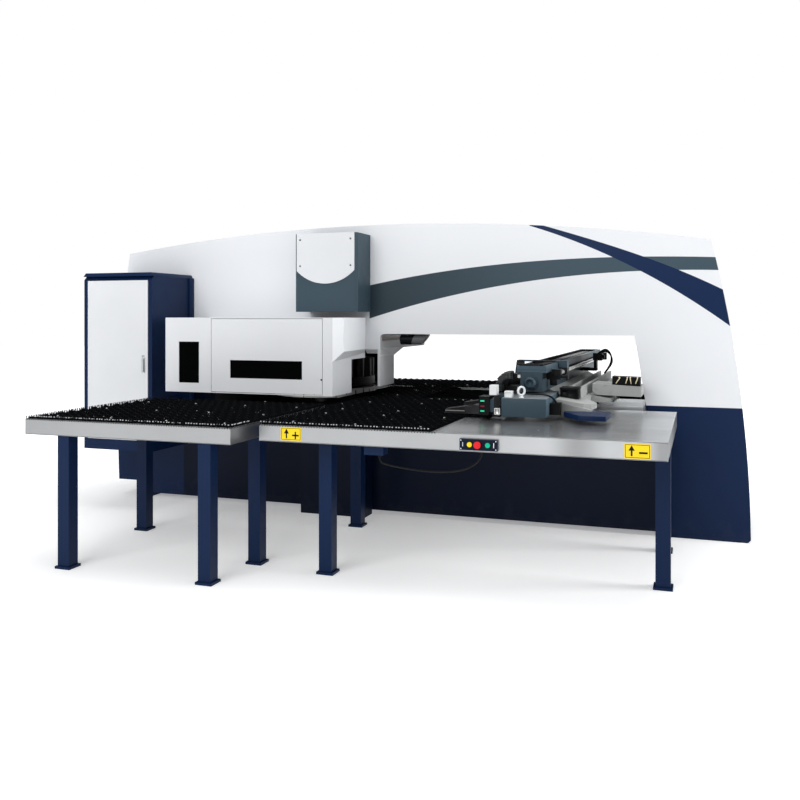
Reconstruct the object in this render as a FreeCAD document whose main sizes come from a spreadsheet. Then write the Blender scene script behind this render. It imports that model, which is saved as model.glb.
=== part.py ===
import FreeCAD, Part
import math
import os
import re
import Sketcher

# Turret punch press with a closed O-frame, a clamp carriage on a cross beam,
# brush tables in front of and behind the frame, and an electrical cabinet.
# Millimetres. +X runs along the frame (to the right seen from the front),
# +Y from the front to the rear, +Z up. The floor is Z = 0 and the origin is
# the middle of the floor area that the whole machine covers.

DRIVING_SIZES = (
    # the closed frame
    ("frame_length", "5344", "length of the frame over its two feet"),
    ("frame_depth", "1200", "thickness of the frame from front plate to rear plate"),
    ("left_corner_height", "2174", "top left corner above the floor"),
    ("right_corner_height", "2165", "top right corner above the floor"),
    ("left_corner_inset", "128", "top left corner inside the left end"),
    ("right_corner_inset", "267", "top right corner inside the right end"),
    ("top_radius", "16640", "radius of the bowed top edge"),
    ("side_radius", "9500", "radius of the two bowed end edges"),
    ("left_bow", "=left_corner_height - sqrt(2 * side_radius * left_corner_inset - left_corner_inset ^ 2)",
     "height at which the left end reaches furthest out"),
    ("left_foot_inset", "=side_radius - sqrt(side_radius ^ 2 - (left_bow - left_end_lift) ^ 2)",
     "lower left corner inside the left end"),
    ("left_end_lift", "137", "underside of the left end above the floor"),
    ("belly_lift", "34", "underside between the feet above the floor"),
    ("left_foot_start", "222", "left foot from the left end"),
    ("left_foot_width", "134", "width of the left foot"),
    ("right_foot_width", "635", "width of the right foot"),
    ("toe_chamfer", "20", "chamfer at the outer toe of the right foot"),
    ("throat_left", "-133", "left wall of the throat"),
    ("throat_right", "1873", "right wall of the throat at its top"),
    ("throat_lean", "107", "how much wider the throat is at its floor"),
    ("throat_floor", "800", "floor of the throat"),
    ("throat_top", "1468", "ceiling of the throat"),
    ("throat_round", "40", "round corner of the throat next to the turret"),
    ("bay_left", "-1660", "left wall of the turret bay"),
    ("bay_right", "-264", "right end of the high part of the turret bay"),
    ("bay_step", "-250", "right wall of the low part of the turret bay"),
    ("bay_floor", "620", "floor of the turret bay"),
    ("bay_top", "1500", "ceiling of the turret bay"),
    ("bay_lintel", "1340", "underside of the lintel beside the throat"),
    ("pedestal_left", "-770", "left side of the pedestal under the turret"),
    ("pedestal_right", "-202", "right side of the pedestal under the turret"),
    ("pedestal_depth", "152", "pedestal in front of the frame"),
    # reach of the whole machine in front of and behind the frame's mid plane
    ("front_reach", "2722", "mid plane to the front edge of the left table"),
    ("rear_reach", "1535", "mid plane to the rear end of the cross beam"),
    ("mid", "=(front_reach - rear_reach) / 2", "mid plane of the frame along Y"),
    # ram head
    ("ram_cover_left", "-758", "left side of the ram head cover"),
    ("ram_cover_right", "-217", "right side of the ram head cover"),
    ("ram_cover_depth", "290", "ram head cover in front of the frame"),
    ("ram_cover_bottom", "1647", "underside of the ram head cover"),
    ("ram_cover_top", "2273", "top of the ram head cover"),
    ("ram_cover_chamfer", "22", "chamfer of the cover's front corners"),
    ("shield_thick", "8", "thickness of the shield plate"),
    ("shield_side", "1975", "lower end of the shield's straight sides"),
    ("shield_sag", "104", "sagitta of the shield's round lower edge"),
    ("ram_x", "-487", "punching axis along X"),
    ("ram_radius", "55", "radius of the striking ram"),
    ("ram_travel", "37", "stroke of the ram"),
    ("ram_gap", "1", "ram above the punch heads when it is down"),
    ("ram_fit", "0.3", "radial clearance of the ram in its bush"),
    ("bush_radius", "95", "outer radius of the ram bush"),
    ("bush_length", "100", "length of the ram bush"),
    # turrets
    ("pass_line", "985", "height at which the sheet passes"),
    ("sheet_gap", "25", "gap between the two turrets"),
    ("turret_radius", "450", "radius of both turrets"),
    ("turret_thick", "70", "thickness of both turrets"),
    ("station_circle", "400", "radius of the circle of tool stations"),
    ("station_radius", "36", "radius of a tool bore"),
    ("punch_collar", "44", "radius of a punch's collar"),
    ("punch_height", "160", "punch above the upper turret"),
    ("shaft_radius", "80", "radius of the turret shafts"),
    ("shaft_fit", "0.3", "radial clearance of a turret on its shaft"),
    ("flange_radius", "130", "radius of the shaft flanges that carry the turrets"),
    ("tool_fit", "0.2", "radial clearance of a tool in its station"),
    # turret cover
    ("cover_left", "-1718", "left side of the turret cover"),
    ("cover_right", "-264", "right side of the turret cover"),
    ("cover_depth", "665", "turret cover in front of the frame"),
    ("cover_bottom", "1011", "underside of the turret cover"),
    ("cover_top", "1600", "top of the turret cover"),
    ("cover_wall", "5", "sheet of the turret cover"),
    ("door_left", "-1301", "left edge of the tool change door"),
    ("door_right", "-344", "right edge of the tool change door"),
    ("door_margin", "6", "door edge inside the cover's lower and upper edge"),
    ("door_seam", "4", "seam round the door"),
    ("door_thick", "20", "thickness of the tool change door"),
    ("door_pin_radius", "4", "radius of the door's hinge pin"),
    ("pin_gap", "0.3", "clearance of a hinge"),
    ("panel_thick", "5", "black window panels"),
    ("side_opening", "289", "opening in the right side next to the frame"),
    ("hood_sheet", "3", "sheet of the two hoods beside the turrets"),
    ("hood_flare", "60", "how far the hoods flare outwards"),
    ("hood_lead", "172", "how far the hoods lean forwards"),
    ("hood_height", "65", "height of the hoods"),
    ("hood_top", "1356", "top of the hood on the lintel"),
    ("nose_depth", "342", "depth of the nose panel"),
    ("nose_bottom", "1042", "underside of the nose panel"),
    ("side_opening_top", "1272", "top of the opening in the right side"),
    # electrical cabinet
    ("cabinet_left", "=-frame_length / 2 + 114", "left side of the cabinet"),
    ("cabinet_gap", "173", "between the cabinet and the turret cover"),
    ("cabinet_width", "=cover_left - cabinet_gap - cabinet_left", "width of the cabinet"),
    ("cabinet_depth", "600", "depth of the cabinet"),
    ("cabinet_bottom", "505", "underside of the cabinet above the floor"),
    ("cabinet_top", "1945", "top of the cabinet"),
    ("cabinet_wall", "5", "sheet of the cabinet"),
    ("cabinet_frame", "36", "border round the cabinet's door"),
    ("cabinet_sill", "85", "border below the cabinet's door"),
    ("cabinet_door_thick", "24", "thickness of the cabinet's door"),
    ("cabinet_seam", "3", "seam round the cabinet's door"),
    ("hinge_radius", "6", "radius of the cabinet's hinges"),
    # tables
    ("deck_height", "949", "top of the tables"),
    ("apron_height", "100", "height of the tables' aprons"),
    ("apron_wall", "5", "sheet of the tables"),
    ("left_table_left", "-1789", "left side of the left table"),
    ("left_table_right", "-284", "right side of the left table"),
    ("left_table_rear", "1340", "rear edge of the left table in front of the mid plane"),
    ("centre_left", "-212", "left side of the centre table"),
    ("centre_right", "2181", "right side of the centre table"),
    ("centre_front", "2501", "front edge of the centre table in front of the mid plane"),
    ("centre_rear", "=frame_depth / 2 + 340", "rear edge of the centre table's plate half"),
    ("brush_right", "890", "right edge of the front brush field"),
    ("brush_wide", "1050", "right edge of the rear brush field"),
    ("brush_turn", "1730", "where the brush field gets wider"),
    ("rear_table_end", "=frame_depth / 2 + 800", "rear edge of the rear table behind the mid plane"),
    ("rear_left", "-760", "left side of the rear table"),
    ("guard_right", "-470", "right end of the rear guard"),
    ("guard_low", "975", "underside of the guard over the rear table"),
    ("roof_slant", "32", "bevel along the front of the cabinet's roof"),
    ("brush_height", "19", "tips of the brushes above the deck"),
    ("brush_base", "6", "height of a brush strip's solid base"),
    ("brush_pitch", "120", "distance between brush strips"),
    ("tuft_pitch", "62", "distance between the tufts of a strip"),
    ("brush_thick", "8", "thickness of a brush strip"),
    ("brush_margin", "12", "brush strips inside the table's edges"),
    ("caster_inset", "192", "first column of ball casters from the left of a brush field"),
    ("caster_radius", "18", "flange of a ball caster"),
    ("caster_ball", "11", "ball of a ball caster"),
    ("caster_pitch", "410", "distance between ball casters along X"),
    ("leg_width", "86", "square tube of the table legs"),
    ("leg_foot", "112", "foot plate of a table leg"),
    ("leg_foot_thick", "16", "thickness of a foot plate"),
    ("bearer_height", "90", "height of the tubes that join the legs"),
    ("bearer_width", "50", "width of the tubes that join the legs"),
    # rail base in the throat and the saddle's travel
    ("base_left", "60", "left end of the rail base"),
    ("base_right", "1950", "right end of the rail base"),
    ("base_height", "100", "height of the rail base"),
    ("rail_spread", "470", "guide rails from the mid plane"),
    ("rail_width", "45", "width of the guide rails"),
    ("rail_height", "40", "height of the guide rails"),
    ("rail_left", "240", "left end of the guide rails"),
    ("runner_fit", "0.3", "clearance of a runner on its rail"),
    ("runner_width", "100", "width of a runner"),
    ("runner_length", "110", "length of a runner"),
    ("skirt_depth", "245", "rail cover in front of the frame"),
    ("skirt_top", "998", "top of the rail cover"),
    ("skirt_left", "1640", "left end of the rail cover"),
    ("slot_half", "100", "half of the slot over the lower ball screw"),
    ("lower_screw_radius", "16", "radius of the lower ball screw"),
        # saddle and cross beam
    ("saddle_bottom", "1006", "underside of the saddle"),
    ("beam_x", "1294", "middle of the cross beam"),
    ("beam_width", "146", "width of the cross beam"),
    ("beam_bottom", "1118", "underside of the cross beam"),
    ("beam_shoulder", "1240", "top of the cross beam's box"),
    ("beam_top", "1286", "top of the cross beam's trough"),
    ("trough_width", "196", "outer width of the trough"),
    ("trough_wall", "20", "wall of the trough"),
    ("beam_front", "1600", "front end of the cross beam in front of the mid plane"),
    ("saddle_right", "1740", "right side of the saddle"),
    ("saddle_low", "1032", "top of the saddle at its right side"),
    ("saddle_high", "1075", "top of the saddle next to the beam"),
    ("wing_left", "1450", "left side of the saddle's front wing"),
    ("saddle_front", "1340", "front end of the saddle's left part"),
    ("saddle_rear", "760", "rear end of the saddle behind the mid plane"),
    ("foot_bottom", "975", "underside of the wing's foot"),
    ("foot_rear", "950", "rear end of the wing's foot"),
    ("foot_right", "1770", "right side of the wing's foot"),
    ("motor_cover_left", "1147", "left side of the motor cover"),
    ("motor_cover_right", "1432", "right side of the motor cover"),
    ("motor_cover_front", "1840", "front of the motor cover"),
    ("motor_cover_top", "1097", "top of the motor cover"),
    ("upper_screw_x", "1425", "axis of the upper ball screw along X"),
    ("upper_screw_z", "1223", "axis of the upper ball screw above the floor"),
    ("upper_screw_radius", "14", "radius of the upper ball screw"),
    ("screw_fit", "0.3", "radial clearance round the ball screws"),
    ("bearing_length", "70", "length of a screw bearing"),
    ("front_bearing", "1370", "front screw bearing in front of the mid plane"),
    ("rear_bearing", "1430", "rear screw bearing behind the mid plane"),
    ("bearing_half", "34", "half height of a screw bearing"),
    # clamp carriage
    ("carriage_face", "1100", "left face of the carriage plate"),
    ("carriage_thick", "32", "thickness of the carriage plate"),
    ("carriage_front", "1840", "front end of the carriage"),
    ("carriage_length", "850", "length of the carriage"),
    ("carriage_bottom", "985", "underside of the carriage plate"),
    ("carriage_low", "1110", "top of the carriage plate at its front"),
    ("carriage_top", "1290", "top of the carriage plate below the bridge"),
    ("bridge_thick", "9", "thickness of the bridge over the beam"),
    ("bridge_width", "90", "width of the bridge along Y"),
    ("bridge_front", "1120", "front edge of the bridge in front of the mid plane"),
    ("nut_radius", "28", "radius of the upper ball nut"),
    ("clamp_reach", "360", "clamp in front of the carriage plate"),
    ("clamp_width", "110", "width of a clamp"),
    ("front_clamp", "1660", "front clamp in front of the mid plane"),
    ("rear_clamp", "1180", "rear clamp in front of the mid plane"),
    ("clamp_top", "1030", "top of a clamp"),
    ("jaw_low", "972", "underside of the lower jaw"),
    ("jaw_length", "180", "length of the moving jaw"),
    ("jaw_thick", "18", "thickness of the moving jaw"),
    ("jaw_cheek", "8", "cheeks on both sides of the moving jaw"),
    # push buttons
    ("button_box_left", "1061", "left side of the button box"),
    ("button_box_width", "216", "width of the button box"),
    ("button_box_bottom", "860", "underside of the button box"),
    ("button_box_height", "63", "height of the button box"),
    ("button_box_thick", "22", "button box in front of the apron"),
    ("button_height", "892", "height of the push buttons"),
    ("start_x", "1119", "yellow button along X"),
    ("stop_x", "1166", "red mushroom button along X"),
    ("reset_x", "1223", "green button along X"),
    ("button_radius", "14", "radius of the flat buttons"),
    ("mushroom_radius", "20", "radius of the mushroom button"),
    ("button_travel", "5", "travel of a button"),
    ("button_fit", "0.5", "clearance round a button"),
)

STATIONS = 20
RUNNER_STATIONS = (1350, 1690)
TABLE_LEGS = (
    # X and distance in front of the mid plane
    ("left_table_left + 289", "front_reach - 56"),
    ("left_table_right - 186", "front_reach - 56"),
    ("left_table_left + 149", "left_table_rear + 310"),
    ("left_table_right - 116", "front_reach - 544"),
    ("centre_left + 339", "centre_front - 270"),
    ("centre_left + 52", "frame_depth / 2 + 417"),
    ("centre_right - 51", "centre_front - 634"),
    ("centre_right - 81", "centre_rear + 70"),
    ("rear_left + 90", "100 - rear_table_end"),
    ("centre_right - 81", "100 - rear_table_end"),
)
CABLE_POINTS = (
    # from the junction box to the back of the apron behind the push buttons
    (540, 2410, 790),
    (540, 2410, 752),
    (575, 2411, 735),
    (640, 2412, 724),
    (760, 2413, 711),
    (890, 2412, 706),
    (1010, 2411, 716),
    (1095, 2411, 744),
    (1148, 2413, 788),
    (1168, 2414, 842),
    (1170, 2442, 890),
    (1170, 2496, 890),
)
CABLE_RADIUS = 6

doc = FreeCAD.newDocument("turret_punch_press")
sheet = doc.addObject("Spreadsheet::Sheet", "Sizes")
for row, (alias, text, meaning) in enumerate(DRIVING_SIZES, 1):
    sheet.set("A%d" % row, meaning)
    sheet.set("B%d" % row, text)
    sheet.setAlias("B%d" % row, alias)
doc.recompute()

ALIASES = {alias for alias, _, _ in DRIVING_SIZES}
WORD = re.compile(r"[a-z][a-z_0-9]*")
nodes = {}


def ref(text):
    """An expression with each size named in the sheet."""
    return WORD.sub(lambda m: "Sizes." + m.group(0) if m.group(0) in ALIASES else m.group(0), str(text))


def number(text):
    """The present value of an expression."""
    return float(sheet.evalExpression(str(text)))


def bind(item, prop, text):
    item.setExpression(prop, ref(text))


def put(item, x="0", y="0", z="0"):
    for letter, text in zip("xyz", (x, y, z)):
        bind(item, "Placement.Base." + letter, text)
    return item


def keep(name, item):
    """Names a finished sub-part, which is written to its own file."""
    item.Label = name
    nodes[name] = item
    return item


def block(name, x, y, z):
    """A box from its two ends along each axis."""
    item = doc.addObject("Part::Box", name)
    for prop, (low, high) in zip(("Length", "Width", "Height"), (x, y, z)):
        bind(item, prop, "(%s) - (%s)" % (high, low))
    return put(item, x[0], y[0], z[0])


TURNS = {
    "X": FreeCAD.Rotation(FreeCAD.Vector(0, 1, 0), 90),
    "Y": FreeCAD.Rotation(FreeCAD.Vector(1, 0, 0), -90),
    "Z": FreeCAD.Rotation(),
}


def rod(name, axis, start, length, radius):
    """A cylinder from its start point along +X, +Y or +Z."""
    item = doc.addObject("Part::Cylinder", name)
    item.Placement = FreeCAD.Placement(FreeCAD.Vector(), TURNS[axis])
    bind(item, "Radius", radius)
    bind(item, "Height", length)
    return put(item, *start)


def fuse(name, *items):
    item = doc.addObject("Part::MultiFuse", name)
    item.Shapes = list(items)
    item.Refine = True
    return item


def cut(name, base, *tools):
    item = doc.addObject("Part::Cut", name)
    item.Base = base
    item.Tool = tools[0] if len(tools) == 1 else fuse(name + "_tools", *tools)
    item.Refine = True
    return item


def group(name, *items):
    """Separate solids of one kind in one sub-part."""
    item = doc.addObject("Part::Compound", name)
    item.Links = list(items)
    return item


def body(name):
    item = doc.addObject("PartDesign::Body", name)
    return item


def origin_plane(owner, role):
    return next(f for f in owner.Origin.OriginFeatures if f.Role == role)


def draw_loop(drawing, loop):
    """Adds a closed outline. A corner is (x, y) or (x, y, radius, side): the edge that
    leaves such a corner is an arc of that radius, which bows to its left (1) or right (-1)."""
    first = drawing.GeometryCount
    spots = [FreeCAD.Vector(number(corner[0]), number(corner[1]), 0) for corner in loop]
    count = len(loop)
    ends = []
    for index, corner in enumerate(loop):
        start = spots[index]
        stop = spots[(index + 1) % count]
        if len(corner) == 2:
            drawing.addGeometry(Part.LineSegment(start, stop), False)
            ends.append((1, 2))
            continue
        radius = number(corner[2])
        chord = stop - start
        sag = radius - math.sqrt(radius ** 2 - chord.Length ** 2 / 4)
        left = FreeCAD.Vector(-chord.y, chord.x, 0).normalize()
        middle = (start + stop) / 2 + left * (sag * corner[3])
        drawing.addGeometry(Part.Arc(start, middle, stop), False)
        counterclockwise = corner[3] < 0
        ends.append((1, 2) if counterclockwise else (2, 1))
    for index in range(count):
        follower = (index + 1) % count
        drawing.addConstraint(Sketcher.Constraint(
            "Coincident", first + index, ends[index][1], first + follower, ends[follower][0]))
    for index, corner in enumerate(loop):
        place = (("DistanceX", corner[0], spots[index].x), ("DistanceY", corner[1], spots[index].y))
        for kind, text, value in place:
            mark = drawing.addConstraint(Sketcher.Constraint(
                kind, -1, 1, first + index, ends[index][0], value))
            bind(drawing, "Constraints[%d]" % mark, text)
        if len(corner) == 4:
            mark = drawing.addConstraint(Sketcher.Constraint("Radius", first + index, number(corner[2])))
            bind(drawing, "Constraints[%d]" % mark, corner[2])


def sketch(owner, role, *loops):
    drawing = owner.newObject("Sketcher::SketchObject", owner.Name + "_sketch")
    drawing.AttachmentSupport = (origin_plane(owner, role), "")
    drawing.MapMode = "FlatFace"
    for loop in loops:
        draw_loop(drawing, loop)
    return drawing


def draw_circle(drawing, x, y, radius):
    mark = drawing.addGeometry(
        Part.Circle(FreeCAD.Vector(number(x), number(y), 0), FreeCAD.Vector(0, 0, 1), number(radius)), False)
    for kind, text in (("DistanceX", x), ("DistanceY", y)):
        rule = drawing.addConstraint(Sketcher.Constraint(kind, -1, 1, mark, 3, number(text)))
        bind(drawing, "Constraints[%d]" % rule, text)
    rule = drawing.addConstraint(Sketcher.Constraint("Radius", mark, number(radius)))
    bind(drawing, "Constraints[%d]" % rule, radius)


def pad(owner, drawing, length, side="One side", reverse=False):
    item = owner.newObject("PartDesign::Pad", owner.Name + "_pad")
    item.Profile = drawing
    item.SideType = side
    item.Reversed = reverse
    bind(item, "Length", length)
    return item


def pocket(owner, drawing, depth, side="One side", reverse=False):
    item = owner.newObject("PartDesign::Pocket", owner.Name + "_pocket")
    item.Profile = drawing
    item.SideType = side
    item.Reversed = reverse
    bind(item, "Length", depth)
    return item


def ring_of(owner, features, count):
    """Repeats features round the body's Z axis."""
    item = owner.newObject("PartDesign::PolarPattern", owner.Name + "_ring")
    item.Originals = features
    item.Axis = (origin_plane(owner, "Z_Axis"), [""])
    item.Angle = 360
    item.Occurrences = count
    owner.Tip = item
    return item


def rectangle(x, y):
    return [(x[0], y[0]), (x[1], y[0]), (x[1], y[1]), (x[0], y[1])]


def ahead(text):
    """A place in front of the frame's mid plane, as a row coordinate."""
    return "mid - (%s)" % text


def behind(text):
    return "mid + (%s)" % text


FRONT_FACE = ahead("frame_depth / 2")
REAR_FACE = behind("frame_depth / 2")


# ---------------------------------------------------------------- the closed frame

def make_frame():
    """One welded ring: bowed top and ends, two feet, and an opening that is the throat
    on the right and the turret bay on the left. The ram bore enters the bay's ceiling."""
    half = "frame_length / 2"
    outline = [
        ("-" + half + " + left_foot_inset", "left_end_lift"),
        ("-" + half + " + left_foot_start", "left_end_lift"),
        ("-" + half + " + left_foot_start", "0"),
        ("-" + half + " + left_foot_start + left_foot_width", "0"),
        ("-" + half + " + left_foot_start + left_foot_width", "belly_lift"),
        (half + " - right_foot_width", "belly_lift"),
        (half + " - right_foot_width", "0"),
        (half + " - toe_chamfer", "0"),
        (half, "toe_chamfer", "side_radius", -1),
        (half + " - right_corner_inset", "right_corner_height", "top_radius", -1),
        ("-" + half + " + left_corner_inset", "left_corner_height", "side_radius", -1),
    ]
    opening = [
        ("bay_left", "bay_floor"),
        ("bay_step", "bay_floor"),
        ("bay_step", "throat_floor"),
        ("throat_right + throat_lean", "throat_floor"),
        ("throat_right", "throat_top"),
        ("throat_left + throat_round", "throat_top", "throat_round", -1),
        ("throat_left", "throat_top - throat_round"),
        ("throat_left", "bay_lintel"),
        ("bay_right", "bay_lintel"),
        ("bay_right", "bay_top"),
        ("bay_left", "bay_top"),
    ]
    ring = body("frame_ring")
    pad(ring, sketch(ring, "XZ_Plane", outline, opening), "frame_depth", "Symmetric")
    put(ring, y="mid")
    bore = rod("ram_bore", "Z", ("ram_x", "mid", "bay_top"), "bush_length", "ram_radius + ram_fit")
    pedestal = block("pedestal", ("pedestal_left", "pedestal_right"),
                     (FRONT_FACE + " - pedestal_depth", FRONT_FACE), ("0", "throat_floor"))
    keep("frame", cut("frame", fuse("frame_with_pedestal", ring, pedestal), bore))


def make_ram_head():
    cover = body("ram_cover")
    plan = [
        ("0", "0"), ("0", "-ram_cover_depth + ram_cover_chamfer"), ("ram_cover_chamfer", "-ram_cover_depth"),
        ("ram_cover_right - ram_cover_left - ram_cover_chamfer", "-ram_cover_depth"),
        ("ram_cover_right - ram_cover_left", "-ram_cover_depth + ram_cover_chamfer"),
        ("ram_cover_right - ram_cover_left", "0"),
    ]
    pad(cover, sketch(cover, "XY_Plane", plan), "ram_cover_top - ram_cover_bottom")
    put(cover, "ram_cover_left", FRONT_FACE, "ram_cover_bottom")
    keep("ram_cover", cover)

    shield = body("ram_shield")
    width = "(ram_cover_right - ram_cover_left - 2 * ram_cover_chamfer)"
    face = [
        ("0", "shield_side", "(" + width + "^2 / 4 + shield_sag^2) / (2 * shield_sag)", -1),
        (width, "shield_side"), (width, "ram_cover_top"), ("0", "ram_cover_top"),
    ]
    pad(shield, sketch(shield, "XZ_Plane", face), "shield_thick")
    put(shield, "ram_cover_left + ram_cover_chamfer", FRONT_FACE + " - ram_cover_depth", "0")
    keep("ram_shield", shield)

    bush = body("ram_bush")
    drawing = sketch(bush, "XY_Plane")
    draw_circle(drawing, "0", "0", "bush_radius")
    draw_circle(drawing, "0", "0", "ram_radius + ram_fit")
    pad(bush, drawing, "bush_length")
    put(bush, "ram_x", "mid", "bay_top - bush_length")
    keep("ram_bush", bush)

    low = "(pass_line + sheet_gap + turret_thick + punch_height + ram_gap + ram_travel)"
    ram = rod("ram", "Z", ("ram_x", "mid", low), "bay_top + bush_length - ram_travel - " + low, "ram_radius")
    keep("ram", ram)


# ---------------------------------------------------------------- turrets and tools

TURRET_X = "(ram_x - station_circle)"


def make_turret(name, bottom):
    """A thick disc with a shaft bore and a ring of tool bores."""
    disc = body(name)
    drawing = sketch(disc, "XY_Plane")
    draw_circle(drawing, "0", "0", "turret_radius")
    draw_circle(drawing, "0", "0", "shaft_radius + shaft_fit")
    pad(disc, drawing, "turret_thick")
    hole = sketch(disc, "XY_Plane")
    draw_circle(hole, "station_circle", "0", "station_radius")
    ring_of(disc, [pocket(disc, hole, "turret_thick", reverse=True)], STATIONS)
    put(disc, TURRET_X, "mid", bottom)
    keep(name, disc)


def ring_of_tools(name, bottom, sections):
    """Turned tools, one in each station: each section is (from, to, radius)."""
    tools = []
    for index in range(STATIONS):
        angle = 360.0 * index / STATIONS
        place = ("%s + station_circle * cos(%s deg)" % (TURRET_X, angle),
                 "mid + station_circle * sin(%s deg)" % angle)
        pieces = [rod("%s_%d_%d" % (name, index, step), "Z", place + ("(%s) + (%s)" % (bottom, low),),
                      "(%s) - (%s)" % (high, low), radius)
                  for step, (low, high, radius) in enumerate(sections)]
        tools.append(fuse("%s_%d" % (name, index), *pieces) if len(pieces) > 1 else pieces[0])
    keep(name, group(name, *tools))


def make_turrets():
    upper = "pass_line + sheet_gap"
    lower = "pass_line - turret_thick"
    make_turret("upper_turret", upper)
    make_turret("lower_turret", lower)
    ring_of_tools("punches", upper, (("4", "turret_thick", "station_radius - tool_fit"),
                                     ("turret_thick", "turret_thick + punch_height", "punch_collar")))
    ring_of_tools("dies", lower, (("8", "turret_thick", "station_radius - tool_fit"),))

    top = rod("upper_stem", "Z", (TURRET_X, "mid", upper + " + 5"), "bay_top - (%s) - 5" % upper, "shaft_radius")
    collar = rod("upper_collar", "Z", (TURRET_X, "mid", upper + " + turret_thick + shaft_fit"),
                 "60", "flange_radius")
    keep("upper_shaft", fuse("upper_shaft", top, collar))
    stem = rod("lower_stem", "Z", (TURRET_X, "mid", "bay_floor"), "pass_line - 5 - bay_floor", "shaft_radius")
    seat = rod("lower_collar", "Z", (TURRET_X, "mid", lower + " - shaft_fit - 60"), "60", "flange_radius")
    keep("lower_shaft", fuse("lower_shaft", stem, seat))


# ---------------------------------------------------------------- turret cover and doors

COVER_FRONT = FRONT_FACE + " - cover_depth"


def make_turret_cover():
    """A folded sheet box, open underneath and towards the frame, with a door opening and
    a window opening in front and an opening in its right side next to the frame."""
    outer = block("cover_outer", ("cover_left", "cover_right"), (COVER_FRONT, FRONT_FACE),
                  ("cover_bottom", "cover_top"))
    inner = block("cover_inner", ("cover_left + cover_wall", "cover_right - cover_wall"),
                  (COVER_FRONT + " + cover_wall", FRONT_FACE), ("cover_bottom", "cover_top - cover_wall"))
    doorway = block("cover_doorway", ("door_left", "door_right"), (COVER_FRONT, COVER_FRONT + " + cover_wall"),
                    ("cover_bottom + door_margin", "cover_top - door_margin"))
    window = block("cover_window_hole", ("cover_left + 124", "cover_left + 308"),
                   (COVER_FRONT, COVER_FRONT + " + cover_wall"), ("1084", "1410"))
    side = block("cover_side_hole", ("cover_right - cover_wall", "cover_right"),
                 (FRONT_FACE + " - side_opening", FRONT_FACE), ("cover_bottom", "side_opening_top"))
    keep("turret_cover", cut("turret_cover", outer, inner, doorway, window, side))
    keep("side_window", block("side_window", ("cover_left + 110", "cover_left + 322"),
                              (COVER_FRONT + " + cover_wall", COVER_FRONT + " + cover_wall + panel_thick"),
                              ("1070", "1424")))

    face = block("door_face", ("door_left + door_seam", "door_right - door_seam"),
                 (COVER_FRONT, COVER_FRONT + " + door_thick"),
                 ("cover_bottom + door_margin + door_seam", "cover_top - door_margin - door_seam"))
    hollow = block("door_hollow", ("door_left + door_seam + 5", "door_right - door_seam - 5"),
                   (COVER_FRONT + " + 5", COVER_FRONT + " + door_thick"),
                   ("cover_bottom + door_margin + door_seam + 5", "cover_top - door_margin - door_seam - 5"))
    opening = block("door_opening", ("door_left + 170", "door_right - 170"),
                    (COVER_FRONT, COVER_FRONT + " + 5"), ("1130", "1270"))
    pin = rod("door_pin", "Z", ("door_left + door_seam + door_thick / 2", COVER_FRONT + " + door_thick / 2",
                                "cover_top - door_margin - door_seam"),
              "door_margin + door_seam - cover_wall - pin_gap", "door_pin_radius")
    keep("turret_door", fuse("turret_door", cut("door_shell", face, hollow, opening), pin))
    keep("door_window", block("door_window", ("door_left + 156", "door_right - 156"),
                              (COVER_FRONT + " + 5", COVER_FRONT + " + 5 + panel_thick"), ("1116", "1284")))


def frustum(name, low, high, bottom, top):
    """A block whose lower and upper rectangle differ: each is ((x, x), (y, y))."""
    item = doc.addObject("Part::Wedge", name)
    item.Placement = FreeCAD.Placement(FreeCAD.Vector(), FreeCAD.Rotation(FreeCAD.Vector(1, 0, 0), 90))
    for prop, text in (("Xmin", low[0][0]), ("Xmax", low[0][1]), ("Zmin", "-(%s)" % low[1][1]),
                       ("Zmax", "-(%s)" % low[1][0]), ("X2min", high[0][0]), ("X2max", high[0][1]),
                       ("Z2min", "-(%s)" % high[1][1]), ("Z2max", "-(%s)" % high[1][0]),
                       ("Ymin", "0"), ("Ymax", "(%s) - (%s)" % (top, bottom))):
        bind(item, prop, text)
    return put(item, "0", "0", bottom)


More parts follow.
